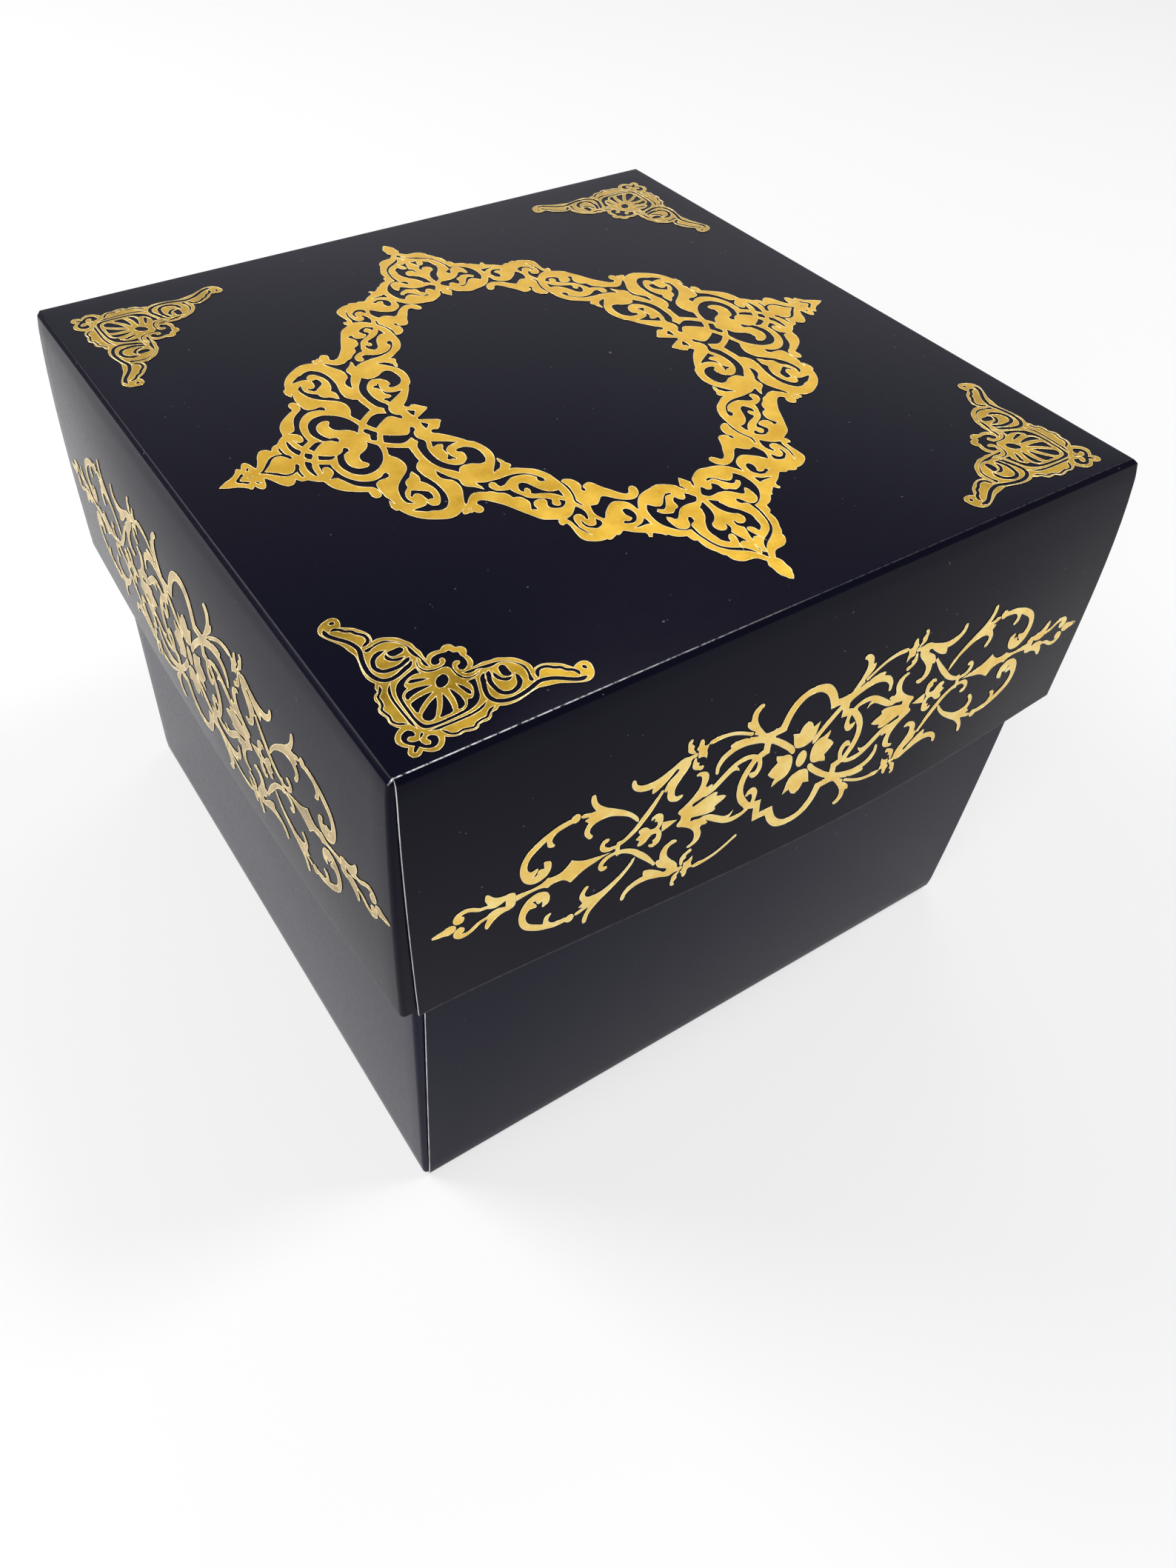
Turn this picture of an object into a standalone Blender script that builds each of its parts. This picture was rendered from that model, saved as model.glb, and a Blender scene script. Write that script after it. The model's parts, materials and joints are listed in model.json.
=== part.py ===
"""Gift box: a square folding carton in two parts, a lift-off lid over a deep tray,
with thin gold foil ornament on the lid's top and on its four walls.

Metres, +Z up. The origin is under the middle of the tray, on the surface it stands on.
-Y is the front wall, -X the left wall.
"""
import math

import bmesh
import bpy
from mathutils import Matrix, Vector

# Driving sizes of the carton
BOX_HEIGHT = 0.150
LID_SIDE = 0.180
LID_DEPTH = 0.068
LID_CLEARANCE = 0.00355
CARD_THICKNESS = 0.00045
FOLD_RADIUS = 0.0012
FOLD_SEGMENTS = 4
SEAT_GAP = 0.0003

# The lid's top is crowned, and its walls belly out between their glued corners, most at the
# rim. The skew moves the belly's middle towards the wall's right end.
TOP_CROWN = 0.0028
TOP_COLUMNS = 12
FRONT_AND_BACK_BELLY = 0.0045
SIDE_BELLY = 0.0008
BELLY_SKEW_SHARE = 1.4
WALL_COLUMNS = 14
WALL_ROWS = 4

# Glue flaps: they turn round a corner behind the front and back walls
FLAP_LENGTH = 0.022
FLAP_CHAMFER = 0.005
WALL_EDGE_INSET_AT_FOLD = 0.0013
WALL_EDGE_INSET_AT_RIM = 0.0032

# Foil: how thick it is, and how far the prints sit off the middle of their panels
FOIL_THICKNESS = 0.00012
TOP_PRINT_SHIFT_X = -0.0013
TOP_PRINT_SHIFT_Y = -0.0028
WALL_PRINT_SHIFT = 0.0020

# Prints follow the lid. The corner pieces reach this far out from the middle of the top,
# and one step of the wall outlines is a share of the lid's side across, of its depth upwards.
TOP_STEP_SHARE = 0.01
CORNER_REACH_SHARE = 0.4645
WALL_STEP_ACROSS_SHARE = 0.00967
WALL_STEP_UP_SHARE = 0.0256
WALL_PRINT_HEIGHT_SHARE = 0.335

# Outlines are listed in steps. The medallion has two mirror lines, so a quarter is listed,
# from its +Y tip round to its +X tip.
MEDALLION_OUTER_SHARES = [
    (0, 44.6), (0.7, 42.8), (0.3, 40.6), (2.3, 39.6), (3.2, 38.2), (4.0, 36.0), (4.2, 34.0),
    (5.6, 32.8), (6.4, 31.6), (8.2, 30.4), (9.6, 29.1), (12.0, 29.5), (13.9, 29.1), (14.6, 27.8),
    (14.2, 25.2), (14.8, 24.4), (16.4, 22.6), (17.8, 19.8), (18.8, 17.8), (20.4, 16.9),
    (21.3, 18.7), (22.4, 17.9), (24.6, 18.1), (26.6, 17.1), (28.1, 15.0), (29.1, 13.6),
    (28.8, 11.6), (29.7, 10.9), (30.1, 9.6), (32.0, 8.2), (33.4, 5.6), (34.8, 4.4), (36.2, 3.8),
    (37.0, 4.3), (38.1, 3.4), (39.1, 1.8), (39.9, 3.3), (41.2, 2.4), (44.1, 0),
]
MEDALLION_OPENING_SHARES = [
    (0, 24.9), (1.8, 24.0), (3.4, 24.2), (4.7, 24.9), (4.3, 22.8), (5.6, 23.9), (7.1, 22.6),
    (8.1, 19.8), (9.2, 19.9), (9.7, 18.1), (10.9, 17.9), (11.6, 15.2), (13.7, 13.4), (14.6, 10.8),
    (14.5, 7.8), (16.0, 5.0), (18.2, 2.5), (16.2, 0.6), (17.8, 0),
]
MEDALLION_GAP_SHARES = [
    [(23.0, 9.6), (23.0, 13.6), (24.0, 15.8), (25.6, 16.3), (27.4, 15.2), (25.0, 15.3), (24.1, 14.0),
     (23.9, 11.2), (24.6, 8.6)],
    [(24.8, 12.8), (24.9, 13.8), (25.3, 12.6), (26.4, 12.9), (26.1, 12.1)],
    [(25.9, 9.6), (26.2, 11.2), (27.2, 13.6), (27.6, 12.0), (27.0, 10.2), (25.6, 8.8)],
    [(15.5, 8.8), (16.2, 10.5), (18.3, 10.1), (17.4, 8.6), (17.6, 7.0), (16.2, 7.0)],
    [(18.8, 9.9), (20.2, 9.6), (21.2, 7.0), (20.8, 4.4), (20.0, 2.4), (20.3, 6.0), (19.6, 8.8)],
    [(22.4, 4.2), (22.6, 7.0), (24.0, 7.9), (24.4, 4.6), (23.4, 3.8)],
    [(25.3, 2.6), (26.0, 4.6), (28.0, 6.4), (30.0, 5.6), (30.6, 3.4), (29.9, 2.2), (29.4, 4.8),
     (27.6, 4.6), (27.9, 3.0)],
    [(27.0, 7.9), (28.8, 8.0), (30.6, 7.4), (32.2, 5.4), (31.4, 3.4), (31.0, 5.2), (29.4, 7.2)],
    [(1.4, 33.2), (1.9, 34.8), (2.7, 34.0), (2.3, 32.4), (1.2, 30.8), (0.6, 30.6), (0.5, 32.0)],
    [(5.0, 31.2), (5.9, 30.2), (5.9, 27.6), (4.8, 26.6), (3.6, 27.4), (4.8, 28.6), (4.9, 29.8)],
    [(7.1, 26.6), (7.3, 28.0), (8.6, 28.2), (8.0, 27.2), (7.7, 26.0)],
    [(5.6, 25.3), (6.7, 24.6), (8.4, 24.1), (10.4, 25.8), (10.4, 24.2), (8.4, 22.9), (6.9, 24.0)],
    [(12.6, 21.2), (13.4, 22.0), (14.2, 20.6), (13.2, 19.9)],
    [(13.2, 18.4), (14.4, 18.2), (15.2, 17.2), (15.0, 16.3), (14.2, 16.8)],
    [(16.6, 17.4), (17.4, 17.0), (18.6, 15.2), (16.4, 15.4), (16.2, 16.6)],
]

# A corner piece is mirrored about the corner's diagonal. Its half is listed along the arm
# that lies on +X, from the outer corner round to the inner one.
CORNER_EDGE_SHARES = [
    (0.3, 0.3), (1.4, 0.2), (3.4, 0.2), (3.9, 1.6), (5.0, 0.8), (6.8, 0.3), (8.8, 1.1), (10.4, 2.2),
    (12.2, 1.6), (14.6, 2.3), (17.2, 1.7), (19.6, 0.5), (20.8, 2.0), (21.0, 2.9), (19.9, 2.7),
    (18.4, 4.2), (16.4, 4.9), (15.6, 4.4), (15.4, 6.0), (14.4, 7.3), (12.6, 7.9), (10.4, 8.0),
    (10.9, 9.4), (10.8, 10.8),
]
CORNER_GAP_SHARES = [
    [(12.5, 6.6), (13.3, 6.9), (13.6, 6.2), (13.4, 5.2), (12.6, 5.6)],
    [(6.9, 3.8), (8.4, 3.9), (8.2, 5.2), (7.4, 6.2)],
]

# A wall piece has two mirror lines too. Its quarter runs from the top of the middle
# cartouche out to the pointed end. Across is the first number, upwards the second.
WALL_EDGE_SHARES = [
    (0, 11.7), (2.0, 11.3), (3.4, 10.0), (3.9, 7.8), (6.2, 8.0), (7.6, 9.5), (8.0, 12.4), (8.9, 11.9),
    (9.3, 10.0), (11.9, 10.6), (14.6, 10.8), (15.8, 11.4), (16.8, 10.5), (17.5, 12.3), (18.1, 10.3),
    (20.2, 9.3), (22.6, 8.8), (24.6, 10.0), (24.2, 8.2), (21.9, 7.2), (20.8, 6.2), (22.4, 4.4),
    (23.3, 3.3), (25.2, 5.6), (28.0, 7.6), (29.3, 8.9), (29.7, 10.8), (30.1, 9.0), (31.8, 9.1),
    (33.8, 8.6), (36.2, 7.4), (37.9, 5.1), (37.9, 2.8), (36.6, 1.2), (38.4, 0.6), (41.2, 1.4),
    (42.4, 2.6), (43.3, 1.8), (45.5, 2.1), (46.5, 0.9), (48.7, 0),
]
WALL_GAP_SHARES = [
    [(36.8, 3.2), (36.8, 5.1), (35.0, 7.1), (32.0, 8.0), (30.4, 7.2), (30.2, 5.2), (28.0, 6.1),
     (25.2, 4.2), (24.0, 2.8), (26.0, 1.5), (31.8, 1.9), (34.2, 1.9)],
    [(21.6, 3.0), (19.4, 5.4), (18.2, 4.0), (16.0, 5.7), (15.0, 3.8), (16.6, 1.9), (19.2, 1.2),
     (22.0, 1.9)],
    [(14.0, 5.3), (12.2, 7.3), (8.0, 7.5), (6.6, 6.2), (6.4, 5.0), (8.6, 5.3), (11.4, 5.0), (13.2, 4.2)],
    [(8.0, 2.8), (6.8, 4.2), (4.2, 5.0), (2.4, 3.2), (4.4, 1.7), (7.4, 1.1)],
    [(0.9, 7.2), (2.1, 7.6), (2.2, 9.8), (0.9, 10.6)],
]

COLLECTION_NAME = "gift_box"
SIDES = ("front", "right", "back", "left")


def clear_scene():
    for item in list(bpy.data.objects):
        bpy.data.objects.remove(item)


def make_material(name, colour, roughness, metallic):
    material = bpy.data.materials.new(name)
    material.use_nodes = True
    shader = material.node_tree.nodes["Principled BSDF"]
    shader.inputs["Base Color"].default_value = (*colour, 1)
    shader.inputs["Roughness"].default_value = roughness
    shader.inputs["Metallic"].default_value = metallic
    return material


def add_object(name, data, parent, material):
    item = bpy.data.objects.new(name, data)
    bpy.data.collections[COLLECTION_NAME].objects.link(item)
    item.parent = parent
    if data is not None:
        data.materials.append(material)
    return item


def quarter_turns(side):
    """Rotation about +Z that takes a piece made for the front wall to its own side."""
    return Matrix.Rotation(SIDES.index(side) * math.pi / 2, 4, "Z")


def thicken(item):
    """The sheet is the card's outer face, so the card grows inwards from it."""
    solidify = item.modifiers.new("card", "SOLIDIFY")
    solidify.thickness = CARD_THICKNESS
    solidify.offset = -1


def sheet_object(name, columns, rows, place, outward, parent, material):
    """A folded strip of card. place gives a point from a share across and a row's number."""
    mesh = bpy.data.meshes.new(name)
    bm = bmesh.new()
    bmesh.ops.create_grid(bm, x_segments=columns, y_segments=rows - 1, size=1)
    for vertex in bm.verts:
        row = round((vertex.co.y + 1) / 2 * (rows - 1))
        vertex.co = place((vertex.co.x + 1) / 2, row)
    bm.normal_update()
    widest = max(bm.faces, key=lambda face: face.calc_area())
    if widest.normal.dot(outward) < 0:
        bmesh.ops.reverse_faces(bm, faces=bm.faces[:])
    bm.to_mesh(mesh)
    bm.free()
    mesh.shade_smooth()
    mesh.set_sharp_from_angle(angle=math.radians(40))
    item = add_object(name, mesh, parent, material)
    thicken(item)
    return item


def fold_arc(centre, start_angle, end_angle):
    """Points of a fold's outer face, as (along, up) pairs round its centre."""
    angles = [start_angle + (end_angle - start_angle) * step / FOLD_SEGMENTS
              for step in range(FOLD_SEGMENTS + 1)]
    return [(centre[0] + FOLD_RADIUS * math.cos(angle), centre[1] + FOLD_RADIUS * math.sin(angle))
            for angle in angles]


def belly(side, x, z):
    """How far the lid's wall stands out at a place on it."""
    across = min(max(x / LID_SIDE + 1 / 2, 0), 1)
    down = min(max((BOX_HEIGHT - FOLD_RADIUS - z) / (LID_DEPTH - FOLD_RADIUS), 0), 1)
    most = FRONT_AND_BACK_BELLY if side in ("front", "back") else SIDE_BELLY
    return most * down * math.sin(math.pi * across ** BELLY_SKEW_SHARE)


def no_belly(side, x, z):
    return 0


def panel_half(size):
    """Half the side of the flat square between a card's four folds."""
    return size / 2 - FOLD_RADIUS - SEAT_GAP


def crown(x, y):
    """How far the lid's top rises at a place on it."""
    half = panel_half(LID_SIDE)
    return TOP_CROWN * max(0, 1 - (x / half) ** 2) * max(0, 1 - (y / half) ** 2)


def no_crown(x, y):
    return 0


def wall(name, side, size, rim_z, fold_z, inset_at_rim, inset_at_fold, bulge, parent, material):
    """One wall with the fold that joins it to the lid's top or the tray's bottom."""
    up = math.copysign(1, fold_z - rim_z)
    centre = (-size / 2 + FOLD_RADIUS, fold_z - up * FOLD_RADIUS)
    bands = 1 if bulge is no_belly else WALL_ROWS
    columns = 1 if bulge is no_belly else WALL_COLUMNS
    profile = [(-size / 2, rim_z + (centre[1] - rim_z) * band / bands) for band in range(bands)]
    profile += fold_arc(centre, math.pi, math.pi - up * math.pi / 2)
    turn = quarter_turns(side)

    def place(across, row):
        depth, z = profile[row]
        share = min((z - rim_z) / (centre[1] - rim_z), 1)
        half = size / 2 - inset_at_rim - (inset_at_fold - inset_at_rim) * share
        x = half * (2 * across - 1)
        return turn @ Vector((x, depth - bulge(side, x, z), z))

    return sheet_object(name, columns, len(profile), place, turn @ Vector((0, -1, 0)),
                        parent, material)


def flap(name, side, hand, size, rim_z, fold_z, parent, material):
    """A glue flap behind the front or back wall, with the fold that it turns round.

    hand is 1 at the wall's left end and -1 at its right end.
    """
    up = math.copysign(1, fold_z - rim_z)
    behind = -size / 2 + CARD_THICKNESS + SEAT_GAP
    centre = (-size / 2 + FOLD_RADIUS, behind + FOLD_RADIUS)
    plan = fold_arc(centre, math.pi, 3 * math.pi / 2)
    plan.append((plan[-1][0] + FLAP_LENGTH, behind))
    turn = quarter_turns(side)
    near_fold = fold_z - up * (FOLD_RADIUS + SEAT_GAP)
    near_rim = rim_z + up * CARD_THICKNESS

    def place(across, row):
        along, depth = plan[row]
        chamfer = up * FLAP_CHAMFER if row == len(plan) - 1 else 0
        z = near_rim + chamfer + (near_fold - near_rim - 2 * chamfer) * across
        return turn @ Vector((hand * along, depth, z))

    return sheet_object(name, 1, len(plan), place, turn @ Vector((0, -1, 0)), parent, material)


def panel(name, size, outer_z, rise, parent, material):
    """The square between the four folds. Its outer face is up on the lid, down on the tray."""
    half = panel_half(size)
    columns = 1 if rise is no_crown else TOP_COLUMNS

    def place(across, row):
        x = half * (2 * across - 1)
        y = half * (2 * row / columns - 1)
        return Vector((x, y, outer_z + rise(x, y)))

    outward = Vector((0, 0, 1 if outer_z > 0 else -1))
    return sheet_object(name, columns, columns + 1, place, outward, parent, material)


def folded_carton(prefix, flat_name, size, rim_z, fold_z, rise, bulge, parent, material):
    """Panel, four walls and four glue flaps of one die-cut card."""
    panel(f"{prefix}_{flat_name}", size, fold_z, rise, parent, material)
    corner_inset = CARD_THICKNESS + SEAT_GAP + FOLD_RADIUS + SEAT_GAP
    for side in SIDES:
        over_flaps = side in ("front", "back")
        at_rim = WALL_EDGE_INSET_AT_RIM if over_flaps else corner_inset
        at_fold = WALL_EDGE_INSET_AT_FOLD if over_flaps else corner_inset
        wall(f"{prefix}_{side}_wall", side, size, rim_z, fold_z, at_rim, at_fold, bulge,
             parent, material)
        if over_flaps:
            for hand, end in ((1, "left"), (-1, "right")):
                flap(f"{prefix}_{side}_{end}_glue_flap", side, hand, size, rim_z, fold_z,
                     parent, material)


def two_mirrors(quarter):
    """A closed outline from the quarter that runs from the +Y axis to the +X axis."""
    lower = [(x, -y) for x, y in reversed(quarter[:-1])]
    right = quarter + lower
    left = [(-x, y) for x, y in reversed(right[1:-1])]
    return right + left


def four_copies(loops):
    return [[(x * flip_x, y * flip_y) for x, y in loop]
            for loop in loops for flip_x in (1, -1) for flip_y in (1, -1)]


def diagonal_mirror(half):
    return half + [(y, x) for x, y in reversed(half[1:-1])]


def foil_outline(name, loops, step_x, step_y):
    """A flat outline with gaps, in local X and Y, with the foil's thickness."""
    curve = bpy.data.curves.new(name, "CURVE")
    curve.dimensions = "2D"
    curve.fill_mode = "BOTH"
    curve.extrude = FOIL_THICKNESS / 2
    for loop in loops:
        spline = curve.splines.new("POLY")
        spline.points.add(len(loop) - 1)
        for point, (x, y) in zip(spline.points, loop):
            point.co = (x * step_x, y * step_y, 0, 1)
        spline.use_cyclic_u = True
    return curve


def bent_foil(name, loops, step_x, step_y, place, parent, material, bend, cuts):
    """A foil print that follows its card. It is cut along (place, direction) planes first."""
    drawn = bpy.data.objects.new(name, foil_outline(name, loops, step_x, step_y))
    bpy.context.scene.collection.objects.link(drawn)
    mesh = bpy.data.meshes.new_from_object(drawn.evaluated_get(bpy.context.evaluated_depsgraph_get()))
    bpy.data.objects.remove(drawn)
    bm = bmesh.new()
    bm.from_mesh(mesh)
    bmesh.ops.remove_doubles(bm, verts=bm.verts, dist=FOIL_THICKNESS / 10)
    bm.transform(place)
    for point, direction in cuts:
        bmesh.ops.bisect_plane(bm, geom=bm.verts[:] + bm.edges[:] + bm.faces[:], plane_co=point,
                               plane_no=direction, dist=FOIL_THICKNESS / 2)
    bmesh.ops.triangulate(bm, faces=bm.faces[:])
    for vertex in bm.verts:
        vertex.co += bend(vertex.co)
    bm.to_mesh(mesh)
    bm.free()
    return add_object(name, mesh, parent, material)


def top_foil(name, loops, step, place, parent, material):
    lines = [2 * column / TOP_COLUMNS - 1 for column in range(1, TOP_COLUMNS)]
    half = panel_half(LID_SIDE)
    cuts = [(axis * line * half, axis) for axis in (Vector((1, 0, 0)), Vector((0, 1, 0)))
            for line in lines]
    return bent_foil(name, loops, step, step, place, parent, material,
                     lambda at: Vector((0, 0, crown(at.x, at.y))), cuts)


def wall_foil(name, loops, step_x, step_y, side, place, parent, material):
    turn = quarter_turns(side)
    along, out = turn @ Vector((1, 0, 0)), turn @ Vector((0, -1, 0))
    cuts = [(along * LID_SIDE * (column / WALL_COLUMNS - 1 / 2), along)
            for column in range(1, WALL_COLUMNS)]
    return bent_foil(name, loops, step_x, step_y, turn @ place, parent, material,
                     lambda at: out * belly(side, at.dot(along), at.z), cuts)


def foil_ornament(parent, material):
    lift = SEAT_GAP + FOIL_THICKNESS / 2
    step = LID_SIDE * TOP_STEP_SHARE
    middle = Matrix.Translation((TOP_PRINT_SHIFT_X, TOP_PRINT_SHIFT_Y, BOX_HEIGHT + lift))
    medallion = [two_mirrors(MEDALLION_OUTER_SHARES), two_mirrors(MEDALLION_OPENING_SHARES)]
    medallion += four_copies(MEDALLION_GAP_SHARES)
    top_foil("foil_medallion", medallion, step, middle, parent, material)
    corner = [diagonal_mirror(CORNER_EDGE_SHARES)]
    corner += CORNER_GAP_SHARES + [[(y, x) for x, y in loop] for loop in CORNER_GAP_SHARES]
    ends = ("front_left", "front_right", "back_right", "back_left")
    reach = LID_SIDE * CORNER_REACH_SHARE
    for turns, end in enumerate(ends):
        outer = Matrix.Translation((-reach, -reach, 0))
        place = middle @ Matrix.Rotation(turns * math.pi / 2, 4, "Z") @ outer
        top_foil(f"foil_{end}_corner", corner, step, place, parent, material)
    band = [two_mirrors(WALL_EDGE_SHARES)] + four_copies(WALL_GAP_SHARES)
    upright = Matrix.Rotation(math.pi / 2, 4, "X")
    height = BOX_HEIGHT - LID_DEPTH * (1 - WALL_PRINT_HEIGHT_SHARE)
    place = Matrix.Translation((WALL_PRINT_SHIFT, -LID_SIDE / 2 - lift, height))
    for side in SIDES:
        wall_foil(f"foil_{side}_wall", band, LID_SIDE * WALL_STEP_ACROSS_SHARE,
                  LID_DEPTH * WALL_STEP_UP_SHARE, side, place @ upright, parent, material)


def main():
    clear_scene()
    bpy.context.scene.collection.children.link(bpy.data.collections.new(COLLECTION_NAME))
    navy_card = make_material("navy_card", (0.012, 0.012, 0.028), 0.3, 0)
    gold_foil = make_material("gold_foil", (0.80, 0.52, 0.14), 0.25, 1)
    tray = add_object("tray", None, None, None)
    lid = add_object("lid_lift_axis", None, None, None)
    tray_rim_z = BOX_HEIGHT - CARD_THICKNESS - SEAT_GAP
    tray_side = LID_SIDE - 2 * (CARD_THICKNESS + LID_CLEARANCE)
    folded_carton("base", "bottom_panel", tray_side, tray_rim_z, 0, no_crown, no_belly, tray,
                  navy_card)
    folded_carton("lid", "top_panel", LID_SIDE, BOX_HEIGHT - LID_DEPTH, BOX_HEIGHT, crown, belly,
                  lid, navy_card)
    foil_ornament(lid, gold_foil)


main()
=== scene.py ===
"""Gift box: the folded card of lid and tray, the gold foil prints, light, floor and camera."""
import json
import math

import bmesh
import bpy
from mathutils import Matrix, Vector

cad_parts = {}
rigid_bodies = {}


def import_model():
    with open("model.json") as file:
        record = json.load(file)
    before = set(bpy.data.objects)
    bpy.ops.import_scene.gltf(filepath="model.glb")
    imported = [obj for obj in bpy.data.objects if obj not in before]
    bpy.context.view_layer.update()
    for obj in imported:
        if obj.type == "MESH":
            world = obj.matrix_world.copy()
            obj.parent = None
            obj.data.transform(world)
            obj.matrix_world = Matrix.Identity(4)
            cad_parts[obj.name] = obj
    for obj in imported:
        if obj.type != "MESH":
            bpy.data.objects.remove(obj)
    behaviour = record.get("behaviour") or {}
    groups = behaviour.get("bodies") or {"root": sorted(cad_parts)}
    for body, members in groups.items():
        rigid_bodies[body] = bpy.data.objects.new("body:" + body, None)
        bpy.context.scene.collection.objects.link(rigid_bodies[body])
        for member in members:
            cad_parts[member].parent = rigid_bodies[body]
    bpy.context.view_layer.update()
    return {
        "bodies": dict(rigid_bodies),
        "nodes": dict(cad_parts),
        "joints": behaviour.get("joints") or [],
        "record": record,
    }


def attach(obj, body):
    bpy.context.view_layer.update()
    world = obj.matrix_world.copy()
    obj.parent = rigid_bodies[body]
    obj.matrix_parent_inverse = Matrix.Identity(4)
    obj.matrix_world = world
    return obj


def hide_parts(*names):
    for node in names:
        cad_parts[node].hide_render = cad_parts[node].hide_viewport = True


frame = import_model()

# The carton's sizes, as in the CAD
BOX_HEIGHT = 0.150
LID_SIDE = 0.180
LID_DEPTH = 0.068
CARD = 0.00045
TRAY_SIDE = LID_SIDE - 2 * (CARD + 0.00355)
SEAT_GAP = 0.0003
TRAY_HEIGHT = BOX_HEIGHT - CARD - SEAT_GAP
TOP_CROWN = 0.0028

# How far each lid wall stands out: at its left end, at its right end, and how much more in its
# middle, the skew of that middle, and the share of it all that is left at the rim. BELLY_FADE is
# how far from a corner one wall's end still carries its neighbour along.
LID_BELLIES = {
    "front": (0.0002, 0.0018, 0.0042, 1.4, 1.0),
    "right": (0.0018, 0.0008, 0.0008, 1.0, 0.9),
    "back": (0.0004, 0.0004, 0.0041, 1.0, 1.0),
    "left": (0.0014, 0.0007, 0.0032, 1.0, 0.75),
}
TRAY_BELLIES = {
    "front": (0.0, 0.0010, 0.0003, 1.4, 0.9),
    "right": (0.0012, 0.0, 0.0003, 1.0, 0.9),
}
BELLY_FADE = 0.035

# A fold in laminated card has two tight bends with a narrow flat between them, and the card
# eases into the wall below them. Each row is a length of card, the degrees it turns through
# and how many steps it is made in.
FOLD_REACH = 0.0015
FOLD_BENDS = ((0.00060, 46, 5), (0.00090, 0, 1), (0.00050, 38, 4), (0.0045, 6, 4))

# Glue flaps and the front and back walls' raw edges
FLAP_LENGTH = 0.022
FLAP_CHAMFER = 0.005
FLAP_TURN_RADIUS = 0.0012
EDGE_INSET_AT_FOLD = 0.0013
EDGE_INSET_AT_RIM = 0.0032
EDGE_LIFT = 0.0003
EDGE_LIFT_LENGTH = 0.02

# Foil: how it sits on the card, and the rim that the stamping raises along its edges
FOIL_LIFT = 0.00010
FOIL_THICKNESS = 0.00006
RIM_WIDTH = 0.00018
RIM_FLATNESS = 0.45
TOP_PRINT_SHIFT = (-0.0013, -0.0028)

# How finely the card is divided: the panel each way, a wall below its fold, a flap's turn
PANEL_SQUARES = 36
WALL_ROWS = 12
TURN_STEPS = 6
CREASE_DEGREES = 35
IN_PLANE = 1e-6
ON_PANEL = 1e-7

# How finely a foil print is cut to bend with the card: a strip's width, and strips each way
TOP_STRIPS = (0.009, 9)
WALL_STRIPS = (0.006, 14)

# Where the lid's film is paler: heights above the rim between which the pale band fades out, and
# for the painted highlight on the front fold's upper bend (partly cracked film) where it fades in
# and out in front of the fold's start, where it fades in below the top, and where it fades out
# from the left end to the middle
RIM_HEIGHT = BOX_HEIGHT - LID_DEPTH
RIM_PALE_BAND = (0.00025, 0.0006)
FRONT_FOLD = FOLD_REACH - LID_SIDE / 2
BEND_HIGHLIGHT_IN = (0.0001, 0.0002)
BEND_HIGHLIGHT_OUT = (0.0003, 0.0004)
BEND_HIGHLIGHT_BELOW = (0.0012, 0.0008)
BEND_HIGHLIGHT_ALONG = (-0.08, 0.0)

SIDES = ("front", "right", "back", "left")

# The camera that took the photo, and the lamps: each one's place, size and power
CAMERA_PLACE = (-0.1445, -0.2062, 0.2923)
CAMERA_FORWARD = (0.3842, 0.5818, -0.7169)
CAMERA_RIGHT = (0.846, -0.5327, 0.0211)
CAMERA_LENS = 28.213
CAMERA_SHIFT = (0.0498, -0.0292)
LAMPS = {
    "overhead": ((0.70, -0.28, 1.40), 0.35, 9),
    "gleam": ((0.60, 0.50, 1.42), 0.35, 1.7),
    "key": ((-0.9, 1.1, 1.1), 0.9, 22),
    "fill": ((-1.6, -0.9, 0.9), 1.2, 24),
}
LAMP_AIM = Vector((0, 0, 0.05))
FLOOR_REACH = 6
FLOOR_DROP = 0.0002

# The room that the film and the foil mirror, and how much of the white background they and the
# camera see instead of the room and of the floor's own shade
ROOM_DIM = (0.16, 0.16, 0.18, 1)
ROOM_WINDOW = (1.0, 1.0, 1.03, 1)
WHITE_OVER_ROOM = (1.0, 0.25)
WHITE_OVER_FLOOR = (0.6, 0.5)

# Ornament, drawn in hundredths of the lid's side. A loop's point with a third number is a
# sharp corner. A stroke is a hairline gap in the foil: its width, then the points it follows.
SHARP = 1
STEP = LID_SIDE / 100

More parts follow.
